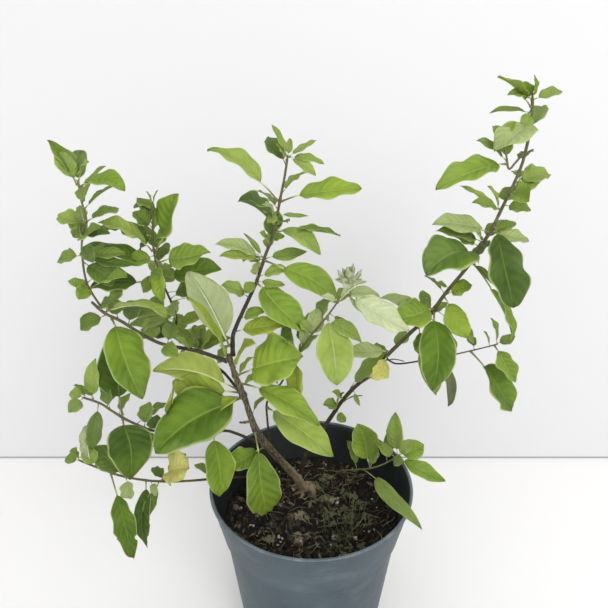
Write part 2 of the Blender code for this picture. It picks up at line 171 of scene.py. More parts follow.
def new_group(name: str, inputs: dict[str, float], outputs: Sequence[str]) -> tuple:
    """Start a shader node group.

    Args:
        name: the group's name.
        inputs: each value input with its default.
        outputs: the names of its value outputs.

    Returns:
        The sheet to write on, the group's input node and its output node.
    """
    tree = bpy.data.node_groups.new(name, "ShaderNodeTree")
    for socket_name, value in inputs.items():
        socket = tree.interface.new_socket(socket_name, in_out="INPUT",
                                           socket_type="NodeSocketFloat")
        socket.default_value = value
    for socket_name in outputs:
        tree.interface.new_socket(socket_name, in_out="OUTPUT",
                                  socket_type="NodeSocketFloat")
    sheet = NodeSheet(tree)
    return sheet, sheet.add("NodeGroupInput"), sheet.add("NodeGroupOutput")


class Effects:
    """The node groups that more than one finish uses, each built once."""

    _made: dict[str, bpy.types.NodeTree] = {}

    @classmethod
    def get(cls, name: str) -> bpy.types.NodeTree:
        """Return a group by name, and build it the first time."""
        if name not in cls._made:
            cls._made[name] = getattr(cls, name)()
        return cls._made[name]

    @staticmethod
    def veins() -> bpy.types.NodeTree:
        """Build the leaf veins: a midrib, curved side veins and a fine net."""
        sheet, given, out = new_group("veins", {"Pairs": 7.0, "Slant": 0.26},
                                      ("Vein", "Relief", "Edge"))
        parts = sheet.add("ShaderNodeSeparateXYZ", {0: sheet.map()}).outputs
        across = sheet.math("ABSOLUTE", sheet.math(
            "MULTIPLY_ADD", parts[1], 2.0, -1.0))
        wobble = sheet.noise(sheet.place(), 160.0, 2.0)
        along = sheet.math("ADD", parts[0],
                           sheet.math("MULTIPLY_ADD", wobble, 0.05, -0.025))
        curve = sheet.math("MULTIPLY", given.outputs["Slant"],
                           sheet.math("POWER", across, 1.35))
        phase = sheet.math("MULTIPLY", sheet.math("SUBTRACT", along, curve),
                           given.outputs["Pairs"])
        gap = sheet.math("MULTIPLY", sheet.math("ABSOLUTE", sheet.math(
            "SUBTRACT", sheet.math("FRACT", phase), 0.5)), 2.0)
        side = sheet.ramp(gap, 0.86, 0.99)
        side = sheet.math("MULTIPLY", side, sheet.ramp(across, 1.02, 0.55))
        rib = sheet.ramp(across, 0.075, 0.02)
        net = sheet.add("ShaderNodeTexVoronoi", {"Vector": sheet.place(), "Scale": 900.0},
                        feature="DISTANCE_TO_EDGE").outputs["Distance"]
        net = sheet.math("MULTIPLY", sheet.ramp(net, 0.12, 0.0), 0.22)
        vein = sheet.math("MAXIMUM", rib, sheet.math(
            "MAXIMUM", sheet.math("MULTIPLY", side, 0.62), net))
        swell = sheet.math("MULTIPLY", sheet.math("SINE", sheet.math(
            "MULTIPLY", gap, math.pi / 2)), -1.0)
        relief = sheet.math("SUBTRACT", sheet.math("MULTIPLY", swell, 0.6), vein)
        links = sheet.tree.links
        links.new(vein, out.inputs["Vein"])
        links.new(relief, out.inputs["Relief"])
        links.new(across, out.inputs["Edge"])
        return sheet.tree

    @staticmethod
    def mottle() -> bpy.types.NodeTree:
        """Build soft blotches and small specks at a given scale."""
        sheet, given, out = new_group("mottle", {"Scale": 60.0, "Specks": 600.0},
                                      ("Blotch", "Speck"))
        spot = sheet.place()
        blotch = sheet.noise(spot, given.outputs["Scale"], 4.0, 0.55)
        speck = sheet.noise(spot, given.outputs["Specks"], 2.0, 0.6)
        sheet.tree.links.new(sheet.ramp(blotch, 0.35, 0.65), out.inputs["Blotch"])
        sheet.tree.links.new(sheet.ramp(speck, 0.6, 0.72), out.inputs["Speck"])
        return sheet.tree

    @classmethod
    def use(cls, sheet: NodeSheet, name: str, **values: float) -> bpy.types.Node:
        """Place a group in a material.

        Args:
            sheet: the material's sheet.
            name: the group's name.
            values: values for its inputs.

        Returns:
            The group's node.
        """
        node = sheet.add("ShaderNodeGroup", node_tree=cls.get(name))
        for key, value in values.items():
            node.inputs[key].default_value = value
        return node


def new_material(name: str) -> tuple[bpy.types.Material, NodeSheet, bpy.types.Node]:
    """Return an empty material, its sheet and its output node."""
    material = bpy.data.materials.new(name)
    material.use_nodes = True
    material.node_tree.nodes.clear()
    sheet = NodeSheet(material.node_tree)
    return material, sheet, sheet.add("ShaderNodeOutputMaterial")


# ------------------------------------------------------------------------- finishes


LEAF_MARGIN = srgb(222, 220, 116)
# Pale colour for a thin band along every leaf edge: mostly a painted highlight along the
# rim of the blade, partly its own paler margin.
LEAF_EDGE_HALO = srgb(208, 220, 144)
LEAF_SCAR = srgb(74, 66, 30)
OLD_STALK = (srgb(128, 128, 82), srgb(106, 100, 62))
BARK_SPECK = srgb(150, 138, 112)


@dataclass(frozen=True)
class LeafFinish:
    """One tone of leaf: its upper side, its underside and how light comes through."""

    name: str
    face: Colour
    deep: Colour
    vein: Colour
    under: Colour
    glow: Colour
    rough: float = 0.42
    through: float = 0.34
    margin: float = 0.0
    specks: float = 0.25

    def side(self, upper: bool) -> bpy.types.Material:
        """Build the material of one side of the blade.

        Args:
            upper: True for the upper side.

        Returns:
            The material.
        """
        label = f"leaf_{self.name}_{'face' if upper else 'under'}"
        material, sheet, out = new_material(label)
        veins = Effects.use(sheet, "veins").outputs
        mottle = Effects.use(sheet, "mottle", Scale=55.0, Specks=420.0).outputs
        body = self.face if upper else self.under
        shade = self.deep if upper else tuple(0.78 * v for v in self.under)
        swell = sheet.math("MULTIPLY_ADD", veins["Relief"], -0.6, mottle["Blotch"])
        colour = sheet.blend(sheet.math("MULTIPLY", swell, 0.8, clamp=True), shade, body)
        # Broad noise patches over random tone: the lighter ones in the glow colour are
        # painted highlight, the paler ones in the underside colour are painted sheen.
        lively = sheet.noise(sheet.place(), 19.0, 2.0)
        colour = sheet.blend(sheet.math("MULTIPLY", sheet.ramp(lively, 0.48, 0.7), 0.35),
                             colour, self.glow)
        colour = sheet.blend(sheet.math("MULTIPLY", sheet.ramp(lively, 0.46, 0.28), 0.45),
                             colour, self.under)
        if self.margin > 0:
            rim = sheet.math("ADD", veins["Edge"], sheet.math(
                "MULTIPLY_ADD", lively, 0.9, -0.5))
            rim = sheet.math("MULTIPLY", sheet.ramp(rim, 0.6, 1.1), self.margin)
            colour = sheet.blend(rim, colour, LEAF_MARGIN)
        # A thin pale band along the edge: mostly a painted highlight along the rim of the
        # blade, partly its own paler margin.
        edge_halo = sheet.math("MULTIPLY", sheet.ramp(veins["Edge"], 0.88, 0.98), 0.8)
        colour = sheet.blend(edge_halo, colour, LEAF_EDGE_HALO)
        strength = 0.5 if upper else 0.4
        colour = sheet.blend(sheet.math("MULTIPLY", veins["Vein"], strength), colour,
                             self.vein)
        scar = sheet.math("MULTIPLY", mottle["Speck"], self.specks * 0.5)
        colour = sheet.blend(scar, colour, LEAF_SCAR)
        relief = sheet.math("MULTIPLY", veins["Relief"], 1.0 if upper else -1.0)
        grain = sheet.noise(sheet.place(), 1500.0, 2.0)
        bump = sheet.bump(0.8, 0.9 * MM, sheet.math("MULTIPLY_ADD", grain, 0.2, relief))
        rough = sheet.math("MULTIPLY_ADD", mottle["Blotch"], 0.12,
                           self.rough if upper else 0.62)
        shader = sheet.add("ShaderNodeBsdfPrincipled", {
            "Base Color": colour, "Roughness": rough, "Normal": bump,
            "Specular IOR Level": 0.30 if upper else 0.2})
        light = sheet.add("ShaderNodeBsdfTranslucent", {
            "Color": sheet.blend(0.55, colour, self.glow), "Normal": bump})
        sheet.finish(sheet.mix(self.through, shader, light), out)
        return material

    def stalk(self) -> bpy.types.Material:
        """Build the material of the stalk and midrib."""
        material, sheet, out = new_material(f"leaf_{self.name}_stalk")
        mottle = Effects.use(sheet, "mottle", Scale=120.0, Specks=900.0).outputs
        along = sheet.add("ShaderNodeSeparateXYZ", {0: sheet.map()}).outputs[0]
        old = sheet.blend(mottle["Blotch"], *OLD_STALK)
        rib = sheet.blend(mottle["Blotch"], self.vein,
                          tuple(0.86 * v for v in self.vein))
        colour = sheet.blend(sheet.ramp(along, 0.22, 0.42), old, rib)
        shader = sheet.add("ShaderNodeBsdfPrincipled", {
            "Base Color": colour, "Roughness": 0.5, "Specular IOR Level": 0.35})
        sheet.finish(shader, out)
        return material


class Tone(Enum):
    """The tones that the leaves come in."""

    BRIGHT = LeafFinish("bright", srgb(154, 185, 72), srgb(126, 159, 50),
                        srgb(196, 212, 130), srgb(168, 190, 104), srgb(200, 222, 66))
    FRESH = LeafFinish("fresh", srgb(134, 165, 60), srgb(108, 140, 44),
                       srgb(180, 198, 108), srgb(160, 182, 102), srgb(178, 206, 56))
    MID = LeafFinish("mid", srgb(112, 145, 46), srgb(88, 120, 33), srgb(158, 182, 90),
                     srgb(148, 172, 98), srgb(152, 186, 44), rough=0.44)
    DARK = LeafFinish("dark", srgb(86, 114, 40), srgb(64, 90, 28), srgb(130, 156, 74),
                      srgb(132, 154, 92), srgb(118, 152, 36), rough=0.4, through=0.28)
    LIGHT = LeafFinish("light", srgb(178, 200, 104), srgb(152, 180, 72),
                       srgb(206, 220, 150), srgb(188, 206, 130), srgb(212, 228, 108),
                       rough=0.5)
    LIME = LeafFinish("lime", srgb(168, 188, 66), srgb(146, 172, 54),
                      srgb(210, 218, 140), srgb(184, 200, 104), srgb(218, 226, 84),
                      margin=0.6)
    PALE = LeafFinish("pale", srgb(192, 208, 142), srgb(170, 190, 114),
                      srgb(216, 226, 180), srgb(204, 216, 168), srgb(216, 228, 146),
                      rough=0.55)
    YELLOW = LeafFinish("yellow", srgb(228, 226, 130), srgb(208, 206, 100),
                        srgb(236, 234, 170), srgb(226, 224, 150), srgb(240, 238, 130),
                        margin=0.3, specks=0.7)
    # Lighter, greyer copies of DARK, MID and FRESH for the small leaves: partly painted
    # light that offsets the shade among them.
    DIM = LeafFinish("dim", srgb(118, 146, 66), srgb(94, 122, 48), srgb(162, 182, 108),
                     srgb(150, 170, 112), srgb(160, 186, 76))
    SOFT = LeafFinish("soft", srgb(148, 174, 84), srgb(122, 150, 62),
                      srgb(188, 204, 126), srgb(170, 188, 122), srgb(190, 212, 92))
    SPRAY = LeafFinish("spray", srgb(168, 192, 100), srgb(142, 170, 76),
                       srgb(202, 216, 138), srgb(186, 204, 132), srgb(206, 224, 104))
    DRY = LeafFinish("dry", srgb(172, 158, 130), srgb(116, 104, 82), srgb(168, 154, 124),
                     srgb(130, 118, 92), srgb(156, 138, 102), rough=0.8, through=0.12,
                     specks=0.8)
    WEED = LeafFinish("weed", srgb(124, 132, 96), srgb(90, 97, 70), srgb(154, 160, 122),
                      srgb(130, 136, 106), srgb(148, 154, 102), rough=0.6)
    WOOLLY = LeafFinish("woolly", srgb(230, 238, 198), srgb(208, 222, 166),
                        srgb(238, 242, 218), srgb(232, 238, 204), srgb(230, 242, 190),
                        rough=0.8)


class LeafWardrobe:
    """The leaf materials, each made the first time that it is asked for."""

    _made: dict[Tone, list[bpy.types.Material]] = {}

    @classmethod
    def slots(cls, tone: Tone) -> list[bpy.types.Material]:
        """Return the face, underside and stalk materials of a tone."""
        if tone not in cls._made:
            finish = tone.value
            cls._made[tone] = [finish.side(True), finish.side(False), finish.stalk()]
        return cls._made[tone]


@dataclass(frozen=True)
class BarkFinish:
    """The skin of a stem, from old bark at its foot to green at its tip."""

    name: str
    old: Colour
    young: Colour
    streak: Colour
    turn: tuple[float, float] = (0.4, 0.95)
    furrow: float = 0.0008

    def build(self) -> bpy.types.Material:
        """Build the material."""
        material, sheet, out = new_material(f"bark_{self.name}")
        along = sheet.add("ShaderNodeSeparateXYZ", {0: sheet.map()}).outputs[0]
        spot = sheet.place()
        wander = sheet.noise(spot, 90.0, 3.0)
        share = sheet.ramp(sheet.math("MULTIPLY_ADD", wander, 0.3,
                                      sheet.math("SUBTRACT", along, 0.15)), *self.turn)
        grain = sheet.noise(sheet.stretch(spot, (1.0, 1.0, 0.16)), 900.0, 4.0, 0.65)
        colour = sheet.blend(share, self.old, self.young)
        colour = sheet.blend(sheet.math("MULTIPLY", sheet.ramp(grain, 0.42, 0.66), 0.65),
                             colour, self.streak)
        mottle = Effects.use(sheet, "mottle", Scale=240.0, Specks=1300.0).outputs
        colour = sheet.blend(sheet.math("MULTIPLY", mottle["Blotch"], 0.35), colour,
                             tuple(0.45 * v for v in self.old))
        colour = sheet.blend(sheet.math("MULTIPLY", mottle["Speck"], 0.5), colour,
                             BARK_SPECK)
        bump = sheet.bump(0.8, self.furrow, sheet.math("ADD", grain, mottle["Speck"]))
        shader = sheet.add("ShaderNodeBsdfPrincipled", {
            "Base Color": colour, "Normal": bump, "Specular IOR Level": 0.3,
            "Roughness": sheet.math("MULTIPLY_ADD", grain, 0.25, 0.55)})
        sheet.finish(shader, out)
        return material


class Bark(Enum):
    """The kinds of stem skin."""

    TRUNK = BarkFinish("trunk", srgb(148, 132, 106), srgb(62, 56, 40), srgb(174, 160, 132),
                       turn=(0.15, 0.6), furrow=0.002)
    BRANCH = BarkFinish("branch", srgb(52, 46, 34), srgb(112, 110, 70), srgb(94, 88, 66),
                        turn=(0.25, 0.85))
    SHOOT = BarkFinish("shoot", srgb(102, 98, 62), srgb(138, 148, 84), srgb(134, 124, 86),
                       turn=(0.2, 0.9), furrow=0.0005)


@dataclass(frozen=True)
class PlasticFinish:
    """Moulded plastic that has stood outdoors: grimy, scuffed and water-marked, with pale
    patches that are partly painted sheen.
    """

    name: str
    base: Colour
    dust_and_sheen: Colour
    dust_and_sheen_share: float
    rough: float = 0.42

    def build(self) -> bpy.types.Material:
        """Build the material."""
        material, sheet, out = new_material(f"plastic_{self.name}")
        spot = sheet.place()
        mottle = Effects.use(sheet, "mottle", Scale=22.0, Specks=700.0).outputs
        cloud = sheet.noise(spot, 14.0, 5.0, 0.6)
        runs = sheet.stretch(spot, (1.0, 1.0, 0.12))
        runs = sheet.ramp(sheet.noise(runs, 110.0, 3.0, 0.55), 0.5, 0.72)
        # Pale clouds and runs: partly grime and water marks, partly painted sheen.
        dust_and_sheen_mask = sheet.math("MULTIPLY_ADD", runs, 0.3, sheet.ramp(cloud, 0.35, 0.75))
        colour = sheet.blend(sheet.math("MULTIPLY", dust_and_sheen_mask, self.dust_and_sheen_share), self.base,
                             self.dust_and_sheen)
        scuff = sheet.stretch(spot, (0.6, 0.6, 1.3))
        scuff = sheet.ramp(sheet.noise(scuff, 34.0, 5.0, 0.65), 0.52, 0.70)
        colour = sheet.blend(sheet.math("MULTIPLY", scuff, self.dust_and_sheen_share * 0.8), colour,
                             self.dust_and_sheen)
        colour = sheet.blend(sheet.math("MULTIPLY", mottle["Speck"], self.dust_and_sheen_share * 0.4),
                             colour, tuple(min(1.0, 1.35 * v) for v in self.dust_and_sheen))
        scratch = sheet.stretch(spot, (1.0, 0.05, 1.0), Rotation=(0.4, 0.2, 0.9))
        scratch = sheet.ramp(sheet.noise(scratch, 800.0, 1.0), 0.70, 0.76)
        colour = sheet.blend(sheet.math("MULTIPLY", scratch, 0.25), colour, self.dust_and_sheen)
        height = sheet.math("MULTIPLY_ADD", mottle["Speck"], 0.6,
                            sheet.noise(spot, 260.0, 3.0))
        bump = sheet.bump(0.25, 0.4 * MM, height)
        shader = sheet.add("ShaderNodeBsdfPrincipled", {
            "Base Color": colour, "Normal": bump, "Specular IOR Level": 0.45,
            "Roughness": sheet.math("MULTIPLY_ADD", dust_and_sheen_mask, 0.22, self.rough)})
        sheet.finish(shader, out)
        return material


class Plastic(Enum):
    """The looks of the pot's plastic."""

    OUTSIDE = PlasticFinish("outside", srgb(42, 58, 68), srgb(104, 119, 126), 0.32)
    # The inside is much darker than the outside: partly the plastic's own tone, partly
    # painted shade.
    INSIDE = PlasticFinish("inside", srgb(25, 30, 34), srgb(54, 56, 52), 0.4, rough=0.5)
    # The lip is paler than the band below it: a painted highlight along the rim, with more
    # of the pale patches.
    LIP = PlasticFinish("lip", srgb(72, 87, 96), srgb(142, 152, 157), 0.5, rough=0.36)


@dataclass(frozen=True)
class EarthFinish:
    """A crumbly or fibrous stuff: two colours in blotches, with a grainy bump."""

    name: str
    light: Colour
    dark: Colour
    scale: float = 300.0
    rough: float = 0.92
    bump: float = 0.001

    def build(self) -> bpy.types.Material:
        """Build the material."""
        material, sheet, out = new_material(f"earth_{self.name}")
        mottle = Effects.use(sheet, "mottle", Scale=self.scale, Specks=1500.0).outputs
        fine = sheet.noise(sheet.place(), self.scale * 3, 4.0, 0.65)
        share = sheet.math("MULTIPLY_ADD", fine, 0.5,
                           sheet.math("MULTIPLY", mottle["Blotch"], 0.55))
        colour = sheet.blend(share, self.dark, self.light)
        bump = sheet.bump(0.9, self.bump, fine)
        shader = sheet.add("ShaderNodeBsdfPrincipled", {
            "Base Color": colour, "Normal": bump, "Specular IOR Level": 0.25,
            "Roughness": sheet.math("MULTIPLY_ADD", mottle["Speck"], -0.3, self.rough)})
        sheet.finish(shader, out)
        return material


class Earth(Enum):
    """What lies in the pot."""

    # The body of the mix is near black: partly the moist mix's own colour, partly painted
    # shade between the crumbs that lie on it.
    MIX = EarthFinish("mix", srgb(46, 41, 33), srgb(11, 10, 8), 240.0, 0.95, 0.002)
    CLOD = EarthFinish("clod", srgb(88, 80, 64), srgb(30, 27, 22), 380.0)
    CHIP = EarthFinish("chip", srgb(142, 130, 108), srgb(60, 53, 42), 420.0, 0.8)
    PERLITE = EarthFinish("perlite", srgb(226, 222, 212), srgb(176, 170, 156), 900.0)
    STRAW = EarthFinish("straw", srgb(172, 162, 136), srgb(104, 94, 74), 500.0, 0.75)
    MOSS = EarthFinish("moss", srgb(104, 108, 82), srgb(50, 53, 41), 500.0, 0.85)
    WOOL = EarthFinish("wool", srgb(232, 238, 206), srgb(204, 216, 168), 700.0, 0.95)


# ------------------------------------------------------------------ reading the frame


class NodeMesh:
    """A merged copy of one node's mesh, for reading only."""

    def __init__(self, name: str) -> None:
        """Read the node.

        Args:
            name: the node's name.
        """
        bm = bmesh.new()
        bm.from_mesh(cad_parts[name].data)
        bmesh.ops.remove_doubles(bm, verts=bm.verts, dist=1e-6)
        bm.verts.index_update()
        self.points = [vert.co.copy() for vert in bm.verts]
        self.links = [[edge.other_vert(vert).index for edge in vert.link_edges]
                      for vert in bm.verts]
        bm.free()

    def farthest(self, point: Vector) -> int:
        """Return the vertex farthest from a point."""
        return max(range(len(self.points)),
                   key=lambda index: (self.points[index] - point).length_squared)

    def ends(self) -> tuple[int, int]:
        """Return the vertices at the two far ends."""
        first = self.farthest(mean(self.points))
        return first, self.farthest(self.points[first])

    def nearest(self, index: int, count: int) -> list[int]:
        """Return the vertices nearest to one vertex, itself among them."""
        order = sorted(range(len(self.points)),
                       key=lambda i: (self.points[i] - self.points[index]).length_squared)
        return order[:count]

    def rows(self, start: Sequence[int]) -> list[list[Vector]]:
        """Return the points in rows, counted in steps from the starting vertices.

        Args:
            start: the vertices of the first row.

        Returns:
            The points of each row in turn.
        """
        seen, level, rows = set(start), list(start), []
        while level:
            rows.append([self.points[index] for index in level])
            following = []
            for index in level:
                for other in self.links[index]:
                    if other not in seen:
                        seen.add(other)
                        following.append(other)
            level = following
        return rows


def mean(points: Sequence[Vector]) -> Vector:
    """Return the middle of some points."""
    return sum(points, Vector()) / len(points)


def spread(points: Sequence[Vector]) -> float:
    """Return how far the points lie from their middle, at most."""
    middle = mean(points)
    return max((point - middle).length for point in points)


def direction(heading: float, rise: float) -> Vector:
    """Return the way that a heading and a slope in degrees point."""
    turn, slope = math.radians(heading), math.radians(rise)
    return Vector((math.cos(slope) * math.cos(turn), math.cos(slope) * math.sin(turn),
                   math.sin(slope)))


def smooth_step(value: float, low: float, high: float) -> float:
    """Return 0 below low, 1 above high and a smooth rise between them."""
    part = min(1.0, max(0.0, (value - low) / (high - low)))
    return part * part * (3 - 2 * part)


class Line:
    """A smooth line through points, measured along its length."""

    def __init__(self, points: Sequence[Vector], steps: int = 6) -> None:
        """Lay a smooth line through the points.

        Args:
            points: the points in order.
            steps: how many pieces each span is cut into.
        """
        held = [2 * points[0] - points[1], *points, 2 * points[-1] - points[-2]]
        self.points: list[Vector] = []
        for a, b, c, d in zip(held, held[1:], held[2:], held[3:]):
            for step in range(steps):
                t = step / steps
                self.points.append(0.5 * (2 * b + (c - a) * t
                                          + (2 * a - 5 * b + 4 * c - d) * t * t
                                          + (3 * b - a - 3 * c + d) * t ** 3))
        self.points.append(points[-1].copy())
        self.marks = [0.0]
        for a, b in zip(self.points, self.points[1:]):
            self.marks.append(self.marks[-1] + (b - a).length)

    @property
    def length(self) -> float:
        """Return the whole length."""
        return self.marks[-1]

    def locate(self, share: float) -> tuple[Vector, Vector]:
        """Return the point and direction at a share of the length."""
        target = share * self.length
        index = int(np.searchsorted(self.marks, target)) - 1
        index = min(max(index, 0), len(self.points) - 2)
        a, b = self.points[index], self.points[index + 1]
        gap = self.marks[index + 1] - self.marks[index]
        part = (target - self.marks[index]) / gap if gap > 0 else 0.0
        return a.lerp(b, part), (b - a).normalized()


class StemLine(Line):
    """The middle line of a stem, read from its node, with its thickness."""

    RING = 8

    def __init__(self, name: str) -> None:
        """Read the stem.

        Args:
            name: the stem's node.
        """
        mesh = NodeMesh(name)
        rings = [mesh.nearest(index, self.RING) for index in mesh.ends()]
        thin = min(rings, key=lambda ring: spread([mesh.points[i] for i in ring]))
        middles: list[Vector] = []
        sizes: list[float] = []
        rows = mesh.rows(thin)
        for number, row in enumerate(rows):
            middle = mean(row)
            size = sum((point - middle).length for point in row) / len(row)
            if sizes and size > 1.3 * sizes[-1]:
                rest = [point for other in rows[number:] for point in other]
                way = middles[-1] - middles[-2]
                rest.sort(key=lambda point: -point.dot(way))
                middles.append(mean(rest[:self.RING]))
                sizes.append(2 * sizes[-1] - sizes[-2])
                break
            if len(row) >= self.RING // 2:
                middles.append(middle)
                sizes.append(size)
        middles.reverse()
        super().__init__(middles)
        self.name = name
        self.thick, self.thin = sizes[-1], sizes[0]

    def radius(self, share: float) -> float:
        """Return the radius at a share of the length."""
        return self.thick + (self.thin - self.thick) * min(1.0, max(0.0, share))

    def leave(self, share: float, direction: Vector, inset: float = 0.0003) -> Vector:
        """Return where something going in a direction comes out of the stem."""
        point, along = self.locate(share)
        outward = direction - along * direction.dot(along)
        return point + outward.normalized() * (self.radius(share) - inset)


@dataclass
class LeafForm:
    """A leaf's middle line, which way it faces along it, and how broad it is."""

    line: Line
    sides: list[Vector]
    stalk: float
    half: float
    fold: float

    NARROW = 2.6 * MM
    STALK_FOOT = 2.3 * MM
    MIDDLES = 9

    @classmethod
    def read(cls, name: str) -> "LeafForm":
        """Read a leaf from its node.

        Args:
            name: the leaf's node.

        Returns:
            Its form, from the stem end to the tip.
        """
        mesh = NodeMesh(name)
        first = mesh.ends()[0]
        start = [i for i in mesh.nearest(first, 10)
                 if (mesh.points[i] - mesh.points[first]).length < cls.STALK_FOOT]
        rows = mesh.rows(start)
        widths = [cls._across(row).length for row in rows]
        narrow = [width < cls.NARROW for width in widths]
        if sum(narrow[:4]) < sum(narrow[-4:]):
            rows.reverse()
            widths.reverse()
            narrow.reverse()
        best = max(range(len(rows)), key=widths.__getitem__)
        side = cls._across(rows[best]).normalized()
        sides: list[Vector] = [side] * len(rows)
        for order in (range(best, len(rows)), range(best, -1, -1)):
            now = side
            for index in order:
                if widths[index] > cls.NARROW * 2:
                    across = cls._across(rows[index]).normalized()
                    now = across if across.dot(now) > 0 else -across
                sides[index] = now
        middles = [cls._middle(row, sides[i], widths[i]) for i, row in enumerate(rows)]
        lift = cls._lift(rows[best], middles, sides[best], widths[best], best)
        if lift < 0:
            sides = [-item for item in sides]
            lift = -lift
        line = Line(middles)
        last = next(i for i, flag in enumerate(narrow) if not flag) - 1
        reach = sum((b - a).length for a, b in zip(middles[:last + 1], middles[1:last + 1]))
        half = widths[best] / 2
        return cls(line, sides, reach / line.length, half / math.cos(lift), lift)

    @staticmethod
    def _across(row: Sequence[Vector]) -> Vector:
        """Return the longest step between two points of a row."""
        pairs = ((b - a) for i, a in enumerate(row) for b in row[i + 1:])
        return max(pairs, key=lambda step: step.length_squared)

    @staticmethod
    def _middle(row: Sequence[Vector], side: Vector, width: float) -> Vector:
        """Return the middle of a row at its midrib."""
        centre = mean(row)
        near = [p for p in row if abs((p - centre).dot(side)) < 0.15 * width]
        return mean(near) if near else centre

    @staticmethod
    def _lift(row: Sequence[Vector], middles: Sequence[Vector], side: Vector,
              width: float, best: int) -> float:
        """Return the fold in radians, minus when the sides face the wrong way.

        Args:
            row: the points of the broadest row.
            middles: the middle of every row.
            side: the way across the broadest row.
            width: how broad that row is.
            best: which row is the broadest.

        Returns:
            The fold.
        """
        along = (middles[min(best + 1, len(middles) - 1)] - middles[best - 1]).normalized()
        up = along.cross(side).normalized()
        outer = [p for p in row if abs((p - middles[best]).dot(side)) > 0.4 * width]
        rise = (mean(outer) - middles[best]).dot(up)
        return math.atan2(rise, width / 2)

    @classmethod
    def grown(cls, start: Vector, heading: float, rise: float, roll: float,
              reach: float, half: float, bend: float, fold: float,
              stalk: float) -> "LeafForm":
        """Form a leaf that leaves a point in a direction.

        Args:
            start: where its stalk begins.
            heading: degrees, 0 to the right and 90 to the back.
            rise: the slope of the leaf in degrees.
            roll: degrees that its upper side turns to the front.
            reach: its length with its stalk.
            half: half its breadth.
            bend: degrees that it arches.
            fold: degrees that its margins lift.
            stalk: the share of its length that is stalk.

        Returns:
            The leaf's form.
        """
        turn, arch = math.radians(heading), math.radians(bend)
        forward = direction(heading, rise)
        lean = math.radians(roll) * (1 if math.cos(turn) >= 0 else -1)
        side = Matrix.Rotation(lean, 3, forward) @ Vector((-math.sin(turn),
                                                           math.cos(turn), 0.0))
        up = forward.cross(side)
        arch = arch or 0.01
        radius = reach / arch
        points = []
        for step in range(cls.MIDDLES):
            now = arch / 2 - step / (cls.MIDDLES - 1) * arch
            points.append(start + forward * radius * (math.sin(arch / 2) - math.sin(now))
                          + up * radius * (math.cos(now) - math.cos(arch / 2)))
        return cls(Line(points, 3), [side] * cls.MIDDLES, stalk, half,
                   math.radians(fold))

    def at(self, share: float) -> tuple[Vector, Vector, Vector, Vector]:
        """Return the point, forward, side and up directions at a share of the length."""
        point, forward = self.line.locate(share)
        place = min(max(share, 0.0), 1.0) * (len(self.sides) - 1)
        index = min(int(place), len(self.sides) - 2)
        side = self.sides[index].lerp(self.sides[index + 1], place - index)
        side = (side - forward * side.dot(forward)).normalized()
        return point, forward, side, forward.cross(side)


# ------------------------------------------------------------------- making meshes


